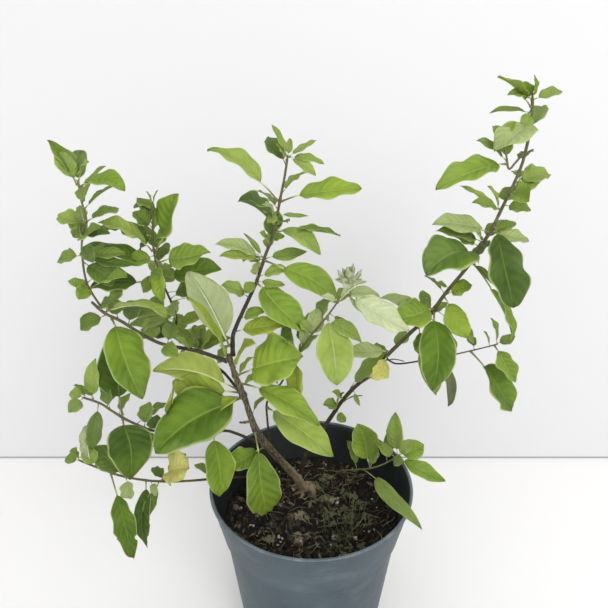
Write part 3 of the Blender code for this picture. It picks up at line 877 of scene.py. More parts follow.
class Shell:
    """A mesh in the making, which becomes one piece."""

    def __init__(self) -> None:
        """Start empty, with a UV map for finishes to read."""
        self.bm = bmesh.new()
        self.uv = self.bm.loops.layers.uv.new(UV_MAP)

    def sheet(self, along: int, around: int,
              place: Callable[[float, float], Vector],
              slot: Callable[[float, float], int] | int = 0,
              across: Callable[[float], float] | None = None) -> None:
        """Add a closed skin: a grid wrapped round and drawn together at both ends.

        Args:
            along: faces from end to end.
            around: faces round it.
            place: gives the point for a share along and a share around.
            slot: the material slot, or a rule that gives it for a face's shares.
            across: gives the second UV value for a share around.
        """
        made = bmesh.ops.create_grid(self.bm, x_segments=along, y_segments=around,
                                     size=1.0)
        faces = {face for vert in made["verts"] for face in vert.link_faces}
        shares = {vert: ((vert.co.x + 1) / 2, (vert.co.y + 1) / 2)
                  for vert in made["verts"]}
        for face in faces:
            face.smooth = True
            middle = face.calc_center_median()
            if callable(slot):
                face.material_index = slot((middle.x + 1) / 2, (middle.y + 1) / 2)
            else:
                face.material_index = slot
            for loop in face.loops:
                u, v = shares[loop.vert]
                loop[self.uv].uv = (u, across(v) if across else v)
        for vert, (u, v) in shares.items():
            vert.co = place(u, v)
        bmesh.ops.remove_doubles(self.bm, verts=made["verts"], dist=2e-7)

    def tube(self, path: Sequence[Vector], radii: Sequence[float], sides: int = 8,
             slot: int = 0,
             ridges: Callable[[float, float], float] | None = None) -> None:
        """Add a closed tube along a path.

        Args:
            path: its middle points.
            radii: its radius at each.
            sides: faces round it.
            slot: its material slot.
            ridges: gives a factor on the radius for a share along and an angle.
        """
        frames = self._frames(path)
        count = len(path)

        def place(u: float, v: float) -> Vector:
            """Return the tube's point for a share along and a share around."""
            row = round(u * (count + 1))
            index = min(max(row - 1, 0), count - 1)
            angle = v * math.tau
            normal, second = frames[index]
            radius = 0.0 if row in (0, count + 1) else radii[index]
            if ridges and radius:
                radius *= ridges(index / (count - 1), angle)
            return path[index] + (normal * math.cos(angle)
                                  + second * math.sin(angle)) * radius

        self.sheet(count + 1, sides, place, slot)

    @staticmethod
    def _frames(path: Sequence[Vector]) -> list[tuple[Vector, Vector]]:
        """Return two directions square to the path at each point, without twist."""
        ways = [(b - a).normalized() for a, b in zip(path, path[1:])]
        ways.append(ways[-1])
        normal = ways[0].orthogonal().normalized()
        frames = []
        for way in ways:
            normal = (normal - way * normal.dot(way)).normalized()
            frames.append((normal, way.cross(normal)))
        return frames

    def lump(self, middle: Vector, size: Vector, turn: Matrix, rough: float,
             detail: int, seed: float, slot: int = 0, smooth: bool = True) -> None:
        """Add an uneven lump.

        Args:
            middle: its centre.
            size: its half sizes.
            turn: how it is turned.
            rough: how uneven it is, as a share of its size.
            detail: how finely its ball is cut.
            seed: which of many shapes it takes.
            slot: its material slot.
            smooth: whether it is shaded smooth.
        """
        made = bmesh.ops.create_icosphere(self.bm, subdivisions=detail, radius=1.0)
        for vert in made["verts"]:
            swell = 1 + rough * noise.noise(vert.co * 1.3 + Vector((seed, 0, -seed)))
            ball = vert.co * swell
            vert.co = middle + turn @ Vector((ball.x * size.x, ball.y * size.y,
                                              ball.z * size.z))
        for face in {face for vert in made["verts"] for face in vert.link_faces}:
            face.smooth = smooth
            face.material_index = slot
            for loop in face.loops:
                loop[self.uv].uv = (0.5, 0.5)

    def piece(self, name: str, materials: Sequence[bpy.types.Material],
              slot_name: str, stands_for: Sequence[str] = ()) -> bpy.types.Object:
        """Turn the mesh into a piece that rides on the body.

        Args:
            name: the piece's name.
            materials: its materials in slot order.
            slot_name: the record's slot that its finish belongs to; not used.
            stands_for: the nodes that it replaces.

        Returns:
            The piece.
        """
        bmesh.ops.recalc_face_normals(self.bm, faces=self.bm.faces)
        mesh = bpy.data.meshes.new(name)
        self.bm.to_mesh(mesh)
        self.bm.free()
        for material in materials:
            mesh.materials.append(material)
        piece = bpy.data.objects.new(name, mesh)
        bpy.context.scene.collection.objects.link(piece)
        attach(piece, BODY)
        if stands_for:
            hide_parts(*stands_for)
        LOG.info("%s: %d faces", name, len(mesh.polygons))
        return piece


# --------------------------------------------------------------------------- leaves


@dataclass
class Blade:
    """One leaf in fine detail: quilted, waved and grooved, on a swollen stalk."""

    form: LeafForm
    seed: int
    rows: int = 44
    columns: int = 18
    sheet: float = 0.00034
    camber: float = 0.30
    wave: float = 0.12
    quilt: float = 0.0009
    groove: float = 0.00055
    droop: float = 0.05
    pairs: float = 7.0
    slant: float = 0.26
    nibble: float = 0.0
    turn: float = 0.0
    broad: float = 1.0
    blunt: float = 0.0
    stalk_radius: float = 0.00085

    RIB_END = 0.86
    RIB_SIDES = 7

    def __post_init__(self) -> None:
        """Draw this leaf's own small differences."""
        rng = random.Random(self.seed)
        self.base = rng.uniform(0.60, 0.76)
        self.point = rng.uniform(0.78, 0.96) - self.blunt
        self.sweep = rng.uniform(-0.08, 0.08)
        self.phases = (rng.uniform(0, math.tau), rng.uniform(0, math.tau))
        self.waves = rng.uniform(1.6, 2.8)
        self.skew = rng.uniform(-0.07, 0.07)
        self.curl = rng.uniform(0.0, 0.5)
        self.twist = rng.uniform(-0.3, 0.3)

    def outline(self, u: float) -> float:
        """Return the breadth at a share of the blade's length, 1 at the broadest."""
        a, b = self.base, self.point
        top = (a / (a + b)) ** a * (b / (a + b)) ** b
        u = min(max(u, 0.0), 1.0)
        return u ** a * (1 - u) ** b / top

    def surface(self, u: float, x: float) -> tuple[Vector, Vector]:
        """Return a point of the upper side, and the direction up from it.

        Args:
            u: share of the blade's length.
            x: share of the half breadth, minus on the left.

        Returns:
            The point and the way up.
        """
        form = self.form
        middle, forward, side, up = form.at(form.stalk + (1 - form.stalk) * u)
        length = form.line.length * (1 - form.stalk)
        reach = abs(x)
        half = (form.half * self.broad * self.outline(u)
                * (1 + self.skew * (1 if x > 0 else -1)))
        which = 0 if x > 0 else 1
        ripple = noise.noise(Vector((u * 3.4, which * 7.0, self.seed * 1.7)))
        edge = 1 + (0.15 * ripple + 0.012 * math.sin(u * 29 + self.phases[which])) * reach
        if self.nibble:
            bite = noise.noise(Vector((u * 8, which * 3.0, self.seed)))
            edge -= self.nibble * smooth_step(bite, 0.1, 0.3) * smooth_step(u, 0.45, 0.7)
        lateral = x * half * edge
        drift = self.sweep * length * math.sin(math.pi * u)
        lift = abs(lateral) * math.sin(form.fold)
        lift += self.camber * half * (reach - reach * reach)
        lift += self.wave * form.half * reach ** 3 * math.sin(
            math.tau * self.waves * u + self.phases[which]) * smooth_step(u, 0.0, 0.25)
        lift -= self.curl * half * max(0.0, reach - 0.72) ** 2 * 2.2
        phase = (u - self.slant * reach ** 1.35) * self.pairs
        puff = math.sin(math.pi * phase) ** 2 * math.sin(math.pi * min(1.0, reach * 1.02))
        gauge = min(1.0, form.half / 0.018)
        lift += self.quilt * gauge * puff
        lift -= self.groove * gauge * math.exp(-(lateral / (0.9 * MM)) ** 2)
        lift -= self.droop * length * max(0.0, u - 0.72) ** 2 * 4
        turned = math.radians(self.turn) * smooth_step(u, 0.0, 0.3)
        turned += self.twist * (u - 0.5)
        across = side * math.cos(turned) + up * math.sin(turned)
        upward = up * math.cos(turned) - side * math.sin(turned)
        flat = lateral * math.cos(form.fold) + drift
        return middle + across * flat + upward * lift, upward

    def add(self, shell: Shell, slot: int) -> None:
        """Add the blade and its stalk.

        Args:
            shell: the mesh to add to.
            slot: the first of the tone's three material slots.
        """
        def across(v: float) -> float:
            """Return the share across, -1 to 1, for a share round the skin."""
            return -1 + 4 * v if v <= 0.5 else 3 - 4 * v

        def place(u: float, v: float) -> Vector:
            """Return the skin's point."""
            x = across(v)
            reach = math.sin(x * math.pi / 2)
            point, upward = self.surface(u, reach)
            if v > 0.5:
                thin = self.sheet * (1 - reach ** 4) * min(1.0, 8 * u, 8 * (1 - u))
                point = point - upward * thin
            return point

        shell.sheet(self.rows, 2 * self.columns, place,
                    slot=lambda u, v: slot if v < 0.5 else slot + 1,
                    across=lambda v: (math.sin(across(v) * math.pi / 2) + 1) / 2)
        self._add_stalk(shell, slot + 2)

    def _add_stalk(self, shell: Shell, slot: int) -> None:
        """Add the stalk, which goes on under the blade as its midrib."""
        form = self.form
        gauge = self.stalk_radius * min(1.0, max(0.42, form.half / 0.015))
        path, radii = [], []
        start, forward, _, _ = form.at(0.0)
        path.append(start - forward * 1.4 * MM)
        radii.append(gauge * 1.7)
        steps = max(4, int(self.rows * 0.3))
        for step in range(steps):
            share = step / steps
            point, _, _, up = form.at(share * form.stalk)
            path.append(point - up * gauge * 0.4 * share)
            radii.append(gauge * (1.0 + 0.55 * math.exp(-share * 9)))
        steps = max(5, int(self.rows * 0.45))
        for step in range(steps):
            u = self.RIB_END * step / (steps - 1)
            point, upward = self.surface(u, 0.0)
            radius = gauge * (0.95 - 0.88 * u)
            path.append(point - upward * (radius * 0.55 + self.sheet * 0.5))
            radii.append(radius)
        shell.tube(path, radii, self.RIB_SIDES, slot)


@dataclass(frozen=True)
class Leaflet:
    """A small leaf on a stem, in millimetres and degrees."""

    at: float
    heading: float
    rise: float
    reach: float
    width: float
    tone: Tone
    bend: float = 30
    roll: float = 42
    stalk: float = 0.16
    fold: float = 14
    droop: float = 0.09

    ROWS, COLUMNS = 22, 10
    HALF_BREADTH = 0.63

    def add(self, shell: Shell, line: StemLine, slot: int, seed: int) -> None:
        """Add the leaf to a stem's small leaves.

        Args:
            shell: the mesh to add to.
            line: the stem that it grows on.
            slot: the first of its tone's material slots.
            seed: which small differences it has.
        """
        way = direction(self.heading, self.rise)
        form = LeafForm.grown(line.leave(self.at, way), self.heading, self.rise,
                              self.roll, self.reach * MM,
                              self.width * MM * self.HALF_BREADTH,
                              self.bend, self.fold, self.stalk)
        Blade(form, seed, self.ROWS, self.COLUMNS, pairs=6.0, quilt=0.0007, wave=0.14,
              droop=self.droop).add(shell, slot)


# The small leaves take the lighter copies: partly painted light against the shade among
# them.
SMALL_TONES = {Tone.DARK: Tone.DIM, Tone.MID: Tone.SOFT, Tone.FRESH: Tone.SPRAY}


@dataclass
class LeafPiece:
    """A large leaf that stands for its node."""

    name: str
    tone: Tone
    slot: str
    seed: int
    changes: dict[str, float] = field(default_factory=dict)

    def build(self) -> bpy.types.Object:
        """Build the leaf over its node."""
        shell = Shell()
        blade = Blade(LeafForm.read(self.name), self.seed, **self.changes)
        blade.add(shell, 0)
        return shell.piece(f"{self.name}_blade", LeafWardrobe.slots(self.tone),
                           self.slot, [self.name])


# ---------------------------------------------------------------------------- stems


@dataclass
class StemPiece:
    """A stem in fine detail: squarish, knotted where leaves join, swollen at its foot."""

    name: str
    bark: Bark
    slot: str
    seed: int
    sides: int = 16
    spacing: float = 1.7 * MM
    square: float = 0.05
    uneven: float = 0.08
    knot: float = 0.15
    flare: float = 0.25
    slim: float = 0.8
    rear: int = 0
    back: float = 1.6 * MM
    leaflets: tuple[Leaflet, ...] = ()

    JOINT_REACH = 3.5 * MM
    KNOT_REACH = 2.4 * MM
    FOOT_REACH = 3 * MM
    MOST_SWELL = 0.4

    def build(self, line: StemLine, joints: Sequence[Vector]) -> bpy.types.Object:
        """Build the stem over its node.

        Args:
            line: its middle line.
            joints: where leaves and branches start.

        Returns:
            The piece.
        """
        near = self._shares(line, joints)
        count = max(12, int(line.length / self.spacing))
        path, radii = [], []
        start, way = line.locate(0.0)
        path.append(start - way * self.back)
        radii.append(line.radius(0.0))
        for step in range(count + 1):
            share = step / count
            point, _ = line.locate(share)
            path.append(point)
            radii.append(self._radius(line, share, near))
        seed = float(self.seed)

        def ridges(share: float, angle: float) -> float:
            """Return how the bark swells round the stem."""
            spot = Vector((math.cos(angle) * 1.4 + seed, math.sin(angle) * 1.4,
                           share * line.length / 0.009))
            fine = Vector((math.cos(angle) * 4 + seed, math.sin(angle) * 4,
                           share * line.length / 0.016))
            return (1 + self.square * math.cos(4 * angle + seed)
                    + self.uneven * noise.noise(spot)
                    + 0.6 * self.uneven * noise.noise(fine))

        shell = Shell()
        shell.tube(path, radii, self.sides, ridges=ridges)
        return shell.piece(f"{self.name}_bark", [self.bark.value.build()], self.slot,
                           [self.name])

    def build_leaflets(self, line: StemLine) -> bpy.types.Object | None:
        """Build the small leaves on the stem, which no node has.

        Args:
            line: the stem's middle line.

        Returns:
            The piece, or None when the stem has no small leaves.
        """
        leaflets = [*self.leaflets, *self._rear()]
        if not leaflets:
            return None
        look = [SMALL_TONES.get(leaflet.tone, leaflet.tone) for leaflet in leaflets]
        tones = list(dict.fromkeys(look))
        shell = Shell()
        for number, leaflet in enumerate(leaflets):
            leaflet.add(shell, line, 3 * tones.index(look[number]),
                        self.seed * 100 + number)
        materials = [item for tone in tones for item in LeafWardrobe.slots(tone)]
        return shell.piece(f"{self.name}_leaflets", materials, "leaf_fresh")

    def _rear(self) -> list[Leaflet]:
        """Return the small leaves on the far side of the stem."""
        rng = random.Random(self.seed)
        tones = (Tone.MID, Tone.FRESH, Tone.DARK, Tone.MID)
        return [Leaflet(0.4 + 0.57 * (i + rng.random()) / self.rear,
                        rng.uniform(35, 145), rng.uniform(-5, 55), rng.uniform(22, 36),
                        rng.uniform(9, 14), tones[i % 4], roll=rng.uniform(-20, 20))
                for i in range(self.rear)]

    def _shares(self, line: StemLine, joints: Sequence[Vector]) -> list[float]:
        """Return where along the stem its leaves and branches join."""
        near = []
        for joint in joints:
            steps = [(joint - point).length for point in line.points]
            best = min(range(len(steps)), key=steps.__getitem__)
            share = line.marks[best] / line.length
            if steps[best] < line.radius(share) + self.JOINT_REACH and share > 0.02:
                near.append(share)
        return near

    def _radius(self, line: StemLine, share: float, near: Sequence[float]) -> float:
        """Return the radius with the swelling at the foot and at each knot."""
        distance = share * line.length
        swell = self.flare * math.exp(-distance / self.FOOT_REACH)
        for place in near:
            gap = (share - place) * line.length / self.KNOT_REACH
            swell += self.knot * math.exp(-gap * gap)
        end = smooth_step(share, 1.0, 0.985)
        return (self.slim * line.radius(share) * (1 + min(swell, self.MOST_SWELL))
                * (0.8 + 0.2 * end))


@dataclass
class Twigs:
    """Bare broken twigs, ridges of old wood and the woolly bud, which no node has."""

    radius: float = 0.75 * MM
    bud_leaves: int = 22

    STRAND_STEPS = 40
    STRAND_DEPTH = 0.62

    def build(self, lines: dict[str, StemLine]) -> list[bpy.types.Object]:
        """Build the twigs and the bud.

        Args:
            lines: every stem's middle line.

        Returns:
            The pieces.
        """
        shell = Shell()
        self._twig(shell, lines["left_high_branch"], 0.30, (-10, 5, -17), 1.5)
        self._twig(shell, lines["right_main_stem"], 0.36, (16, -4, 17), 0.9)
        self._twig(shell, lines["right_main_stem"], 0.44, (22, 4, -2), 0.8)
        self._twig(shell, lines["right_main_stem"], 0.30, (18, -8, 12), 0.8)
        self._twig(shell, lines["trunk"], 0.42, (9, -14, 6), 1.3)
        self._twig(shell, lines["trunk"], 0.66, (-8, -9, 5), 1.6)
        for start, end, turn, thick in ((0.0, 0.62, 0.4, 2.6), (0.02, 0.5, 2.3, 2.3),
                                        (0.04, 0.75, 4.1, 2.0), (0.2, 0.9, 5.4, 1.3)):
            self._strand(shell, lines["trunk"], start, end, turn, thick)
        twigs = shell.piece("bare_twigs", [Bark.TRUNK.value.build()], "bark")
        return [twigs, self._bud(lines["inner_shoot"])]

    @staticmethod
    def _strand(shell: Shell, line: StemLine, start: float, end: float, turn: float,
                thick: float) -> None:
        """Add a ridge of old wood that winds along a stem."""
        path, radii = [], []
        for step in range(Twigs.STRAND_STEPS):
            part = step / (Twigs.STRAND_STEPS - 1)
            share = start + (end - start) * part
            spot, way = line.locate(share)
            side = way.orthogonal().normalized()
            around = Matrix.Rotation(turn + 2.4 * part, 3, way) @ side
            path.append(spot + around * line.radius(share) * Twigs.STRAND_DEPTH)
            swell = 1 + 0.3 * noise.noise(Vector((part * 9, turn, 0)))
            radii.append(thick * swell * MM * math.sin(math.pi * (0.06 + 0.9 * part)))
        shell.tube(path, radii, 10)

    def _twig(self, shell: Shell, line: StemLine, share: float,
              step: tuple[float, float, float], thick: float) -> None:
        """Add one twig that leaves a stem by a step in millimetres."""
        way = Vector(step) * MM
        start = line.leave(share, way, 1.0 * MM)
        bow = way.orthogonal().normalized() * way.length * 0.1
        path = [start + way * (i / 9) + bow * math.sin(math.pi * i / 9)
                for i in range(10)]
        radii = [self.radius * thick * (1.25 - 0.6 * i / 9 + 0.25 * (i in (4, 8)))
                 for i in range(10)]
        shell.tube(path, radii, 8)

    def _bud(self, line: StemLine) -> bpy.types.Object:
        """Build the woolly bud at the end of the inner shoot."""
        rng = random.Random(71)
        shell = Shell()
        tip, way = line.locate(1.0)
        heart = tip + way * 5 * MM
        shell.lump(heart, Vector((5.0, 4.6, 7.5)) * MM, Matrix.Identity(3), 0.5, 3, 4.0,
                   slot=0)
        for number in range(self.bud_leaves):
            turn = number * 2.4
            rise = 10 + 3.4 * number
            form = LeafForm.grown(heart - way * 2 * MM, math.degrees(turn) % 360, rise,
                                  0, rng.uniform(13, 19) * MM, rng.uniform(3.6, 5.2) * MM,
                                  -50, 34, 0.08)
            Blade(form, 900 + number, 12, 6, pairs=4, wave=0.1).add(shell, 1)
        wool = Earth.WOOL.value.build()
        return shell.piece("woolly_bud", [wool, *LeafWardrobe.slots(Tone.WOOLLY)],
                           "leaf_pale")


# ------------------------------------------------------------------------------ pot


@dataclass
class Pot:
    """The thin moulded pot, with its rounded lip, deep band and drain holes."""

    node: str = "pot"
    wall: float = 2.0 * MM
    floor: float = 2.5 * MM
    lip_height: float = 3.0 * MM
    lip_step: float = 1.0 * MM
    band_depth: float = 48 * MM
    band_foot: float = 89.2 * MM
    band_step: float = 2.2 * MM
    taper: float = math.radians(6.75)
    foot_round: float = 3.0 * MM
    drains: int = 8
    drain_radius: float = 4.5 * MM
    drain_inset: float = 12 * MM
    steps: int = 144

    LIP_DEPTH = 2.2 * MM
    INSIDE_POINTS = 42

    def __post_init__(self) -> None:
        """Take the pot's height and rim from its node."""
        high = Vector(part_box(self.node)[1])
        self.height = high.z
        self.rim = high.x
        self.band = self.height - self.band_depth

    def body(self, height: float) -> float:
        """Return the body's outer radius at a height."""
        return (self.band_foot - self.band_step
                - (self.band - height) * math.tan(self.taper))

    def inside(self, height: float) -> float:
        """Return the inner radius at a height."""
        if height < self.band:
            return self.body(height) - self.wall
        share = min(1.0, (height - self.band) / self.band_depth)
        under = self.rim - self.lip_step
        return self.band_foot + (under - self.band_foot) * share - self.wall

    def profile(self) -> list[tuple[float, float]]:
        """Return the outline from the middle of the floor inside to that outside."""
        points = [(0.0, self.floor)]
        foot_in = self.body(self.floor) - self.wall
        points += [(foot_in * 0.5, self.floor), (foot_in - 2.5 * MM, self.floor),
                   (foot_in - 0.8 * MM, self.floor + 0.5 * MM),
                   (foot_in, self.floor + 2.4 * MM)]
        inner = [(self.body(z) - self.wall, z)
                 for z in np.linspace(self.floor + 6 * MM, self.band - self.wall, 22)]
        inner += [(self.inside(z), z) for z in
                  np.linspace(self.band + 1.6 * MM, self.height - 2.6 * MM, 14)]
        points += [(float(r), float(z)) for r, z in inner]
        points += self._lip()
        under = self.rim - self.lip_step
        rings = (0.012, 0.024, 0.036)
        for z in np.linspace(self.height - self.lip_height - 0.6 * MM,
                             self.band + 1.4 * MM, 60):
            share = (z - self.band) / (self.height - self.lip_height - self.band)
            radius = self.band_foot + (under - self.band_foot) * share
            for ring in rings:
                gap = (self.height - z - ring) / (0.5 * MM)
                radius += 0.10 * MM * math.exp(-gap * gap)
            points.append((float(radius), float(z)))
        points += [(self.band_foot + 0.25 * MM, self.band + 0.8 * MM),
                   (self.band_foot - 0.05 * MM, self.band + 0.25 * MM),
                   (self.band_foot - 0.5 * MM, self.band + 0.02 * MM),
                   (self.body(self.band) + 0.35 * MM, self.band),
                   (self.body(self.band), self.band - 0.4 * MM)]
        points += [(float(self.body(z)), float(z)) for z in
                   np.linspace(self.band - 2 * MM, self.foot_round + 1 * MM, 40)]
        foot = self.body(0.0)
        for step in range(7):
            angle = step / 6 * math.pi / 2
            points.append((foot - self.foot_round * (1 - math.cos(angle)),
                           self.foot_round * (1 - math.sin(angle))))
        return points + [(foot * 0.5, 0.0), (0.0, 0.0)]

    def _lip(self) -> list[tuple[float, float]]:
        """Return the rounded lip, from the inner wall over to the band."""
        middle = self.rim - 1.5 * MM
        points = [(middle - 1.5 * MM, self.height - 1.8 * MM)]
        for step in range(9):
            angle = math.pi - step / 8 * math.pi
            points.append((middle + 1.5 * MM * math.cos(angle),
                           self.height - 1.3 * MM + 1.3 * MM * math.sin(angle)))
        return points + [(self.rim, self.height - self.lip_height + 0.5 * MM),
                         (self.rim - 0.3 * MM, self.height - self.lip_height)]

    def build(self) -> bpy.types.Object:
        """Build the pot, cut its drain holes and dress it."""
        shell = Shell()
        self._spin(shell, self.profile())
        materials = [Plastic.OUTSIDE.value.build(), Plastic.INSIDE.value.build(),
                     Plastic.LIP.value.build()]
        piece = shell.piece("nursery_pot", materials, "pot_plastic", [self.node])
        self._drain(piece)
        return piece

    def _spin(self, shell: Shell, outline: list[tuple[float, float]]) -> None:
        """Turn the outline into the pot's skin."""
        count = len(outline) - 1
        lip_from = self.height - self.LIP_DEPTH

        def place(u: float, v: float) -> Vector:
            """Return the skin's point."""
            radius, height = outline[round(u * count)]
            angle = v * math.tau
            return Vector((radius * math.cos(angle), radius * math.sin(angle), height))

        def slot(u: float, _: float) -> int:
            """Return the finish: inside with painted shade, lip with painted highlight, or
            outside.
            """
            index = int(u * count)
            if outline[index][1] > lip_from and outline[index + 1][1] > lip_from:
                return 2
            rising = outline[index + 1][0] >= outline[index][0]
            return 1 if index < self.INSIDE_POINTS and rising else 0

        shell.sheet(count, self.steps, place, slot)

    def _drain(self, piece: bpy.types.Object) -> None:
        """Cut the drain holes round the edge of the floor."""
        bm = bmesh.new()
        ring = self.body(0.0) - self.drain_inset
        for number in range(self.drains):
            angle = math.tau * (number + 0.5) / self.drains
            spot = Vector((ring * math.cos(angle), ring * math.sin(angle),
                           self.floor / 2))
            bmesh.ops.create_cone(bm, cap_ends=True, segments=24,
                                  radius1=self.drain_radius, radius2=self.drain_radius,
                                  depth=self.floor * 3, matrix=Matrix.Translation(spot))
        mesh = bpy.data.meshes.new("drain_cutter")
        bm.to_mesh(mesh)
        bm.free()
        cutter = bpy.data.objects.new("drain_cutter", mesh)
        bpy.context.scene.collection.objects.link(cutter)
        boolean = piece.modifiers.new("Drains", "BOOLEAN")
        boolean.operation = "DIFFERENCE"
        boolean.object = cutter
        ready = piece.evaluated_get(bpy.context.evaluated_depsgraph_get())
        cut = bpy.data.meshes.new_from_object(ready)
        piece.modifiers.clear()
        old = piece.data
        piece.data = cut
        bpy.data.meshes.remove(old)
        bpy.data.objects.remove(cutter, do_unlink=True)
        bpy.data.meshes.remove(mesh)


# ----------------------------------------------------------------------------- soil


@dataclass
class Ground:
    """The potting mix, with everything that has fallen or sprouted on it."""

    pot: Pot
    node: str = "soil"
    mound: float = 6 * MM
    gap: float = 0.25 * MM
    relief: float = 3.2 * MM
    bank: float = 12.0 * MM
    rings: int = 90
    steps: int = 200
    seed: int = 5
    clods: int = 1500
    chips: int = 170
    grains: int = 64
    fibres: int = 190
    sticks: int = 8
    weeds: int = 34

    def __post_init__(self) -> None:
        """Take the soil's place from its node."""
        low, high = (Vector(corner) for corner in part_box(self.node))
        self.base = low.z
        self.level = high.z - self.mound - 1.0 * MM
        self.edge = self.pot.inside(self.level + self.bank) - self.gap

    def height(self, x: float, y: float) -> float:
        """Return the height of the soil's surface at a place."""
        share = min(1.0, math.hypot(x, y) / self.edge)
        spot = Vector((x, y, 0.37)) * 55
        rough = noise.fractal(spot, 0.8, 2.1, 5)
        lumps = abs(noise.noise(spot * 4.5)) - 0.2
        fade = smooth_step(share, 1.0, 0.94)
        bank = self.bank * smooth_step(share, 0.60, 1.0)
        return (self.level + self.mound * math.cos(share * math.pi / 2) + bank
                + (self.relief * rough * 0.8 + self.relief * 0.55 * lumps)
                * (0.35 + 0.65 * fade))

    def spot(self, rng: random.Random, margin: float = 3 * MM,
             low: float = 0.0) -> Vector:
        """Return a random place on the surface."""
        radius = (self.edge - margin) * math.sqrt(rng.uniform(low, 1.0))
        angle = rng.uniform(0, math.tau)
        x, y = radius * math.cos(angle), radius * math.sin(angle)
        return Vector((x, y, self.height(x, y)))

    def build(self) -> list[bpy.types.Object]:
        """Build the soil and its litter, one piece to each kind."""
        return [self._body(), self._clods(), self._chips(), self._perlite(),
                self._fibres(), self._dead_leaves(), self._moss(), self._seedlings(),
                self._roots()]

    def _body(self) -> bpy.types.Object:
        """Build the body of soil."""
        wall = self.pot.inside(self.base + 1 * MM) - 0.4 * MM
        outline = [(self.edge * i / self.rings, 0.0) for i in range(self.rings + 1)]
        below = [(self.pot.inside(z) - 0.4 * MM, z) for z in
                 np.linspace(self.level - 3 * MM, self.base + 3 * MM, 8)]
        outline += [(float(r), float(z)) for r, z in below]
        outline += [(wall - 2 * MM, self.base), (wall * 0.5, self.base),
                    (0.0, self.base)]
        count = len(outline) - 1

        def place(u: float, v: float) -> Vector:
            """Return the soil's point."""
            index = round(u * count)
            radius, height = outline[index]
            x, y = radius * math.cos(v * math.tau), radius * math.sin(v * math.tau)
            if index <= self.rings:
                height = self.height(x, y)
            return Vector((x, y, height))

        shell = Shell()
        shell.sheet(count, self.steps, place)
        return shell.piece("potting_mix_body", [Earth.MIX.value.build()], "potting_mix",
                           [self.node])

    def _clods(self) -> bpy.types.Object:
        """Build crumbs and clods of mix."""
        rng = random.Random(self.seed)
        shell = Shell()
        for _ in range(self.clods):
            big = rng.random() < 0.09
            size = rng.uniform(1.5, 3.6) if big else rng.uniform(0.5, 1.5)
            spot = self.spot(rng, 2.6 * MM)
            spot.z += size * 0.25 * MM
            turn = Matrix.Rotation(rng.uniform(0, 6.2), 3, Vector((rng.random(), 1, 0.3)))
            half = Vector((rng.uniform(0.7, 1.2), rng.uniform(0.7, 1.2),
                           rng.uniform(0.5, 0.9))) * size * MM
            shell.lump(spot, half, turn, 0.9, 2 if big else 1, rng.uniform(0, 90),
                       smooth=big, slot=0 if rng.random() < 0.7 else 1)
        return shell.piece("soil_clods", [Earth.CLOD.value.build(),
                                          Earth.MIX.value.build()], "potting_mix")

    def _chips(self) -> bpy.types.Object:
        """Build flat chips of bark."""
        rng = random.Random(self.seed + 1)
        shell = Shell()
        for _ in range(self.chips):
            size = rng.uniform(1.8, 5.6)
            spot = self.spot(rng, 5.5 * MM)
            spot.z += 0.5 * MM
            turn = (Matrix.Rotation(rng.uniform(0, math.tau), 3, "Z")
                    @ Matrix.Rotation(rng.gauss(0, 0.45), 3, "X"))
            half = Vector((size, size * rng.uniform(0.3, 0.6), rng.uniform(0.35, 0.8)))
            shell.lump(spot, half * MM, turn, 0.8, 2, rng.uniform(0, 90), smooth=False,
                       slot=rng.choice((0, 0, 1)))
        return shell.piece("bark_chips", [Earth.CHIP.value.build(),
                                          Earth.CLOD.value.build()], "potting_mix")

    def _perlite(self) -> bpy.types.Object:
        """Build white grains of perlite."""
        rng = random.Random(self.seed + 2)
        shell = Shell()
        for number in range(self.grains):
            size = rng.uniform(0.5, 1.5) if number > 9 else rng.uniform(1.5, 2.4)
            spot = self.spot(rng, 4 * MM, 0.1)
            if number % 4 == 0:
                near = ((-52, -24), (-33, -26), (48, -24), (57, -16))[number // 4 % 4]
                x, y = ((v + rng.gauss(0, 4)) * MM for v in near)
                spot = Vector((x, y, self.height(x, y)))
            spot.z += 0.4 * MM
            turn = Matrix.Rotation(rng.uniform(0, 6.2), 3, "Y")
            half = Vector((1, rng.uniform(0.7, 1.1), rng.uniform(0.6, 0.9))) * size * MM
            shell.lump(spot, half, turn, 0.7, 2, rng.uniform(0, 90))
        return shell.piece("perlite_grains", [Earth.PERLITE.value.build()],
                           "potting_mix")

    def _strand(self, shell: Shell, rng: random.Random, start: Vector, length: float,
                radius: float, slot: int, lift: float = 0.6) -> None:
        """Add a thin strand that lies on the soil."""
        angle = rng.uniform(0, math.tau)
        bend = rng.gauss(0, 0.07)
        path, spot = [], Vector(start)
        for step in range(9):
            limit = self.edge - 2 * MM
            if math.hypot(spot.x, spot.y) > limit:
                spot *= limit / math.hypot(spot.x, spot.y)
            rise = lift * MM * math.sin(math.pi * step / 8) + radius * 0.8
            path.append(Vector((spot.x, spot.y, self.height(spot.x, spot.y) + rise)))
            spot += Vector((math.cos(angle), math.sin(angle), 0)) * length / 8
            angle += bend
        shell.tube(path, [radius * (1 - 0.4 * abs(i / 4 - 1)) for i in range(9)], 5,
                   slot)

    def _fibres(self) -> bpy.types.Object:
        """Build straws, sticks and root fibres."""
        rng = random.Random(self.seed + 3)
        shell = Shell()
        for _ in range(self.fibres):
            kind = 0 if rng.random() < 0.55 else 1
            self._strand(shell, rng, self.spot(rng, 5 * MM), rng.uniform(7, 24) * MM,
                         rng.uniform(0.16, 0.42) * MM, kind, rng.uniform(0.3, 2.4))
        for _ in range(self.sticks):
            self._strand(shell, rng, self.spot(rng, 12 * MM), rng.uniform(16, 26) * MM,
                         rng.uniform(0.7, 1.1) * MM, 1, 1.0)
        return shell.piece("straws_and_fibres", [Earth.STRAW.value.build(),
                                                 Earth.CHIP.value.build()],
                           "potting_mix")

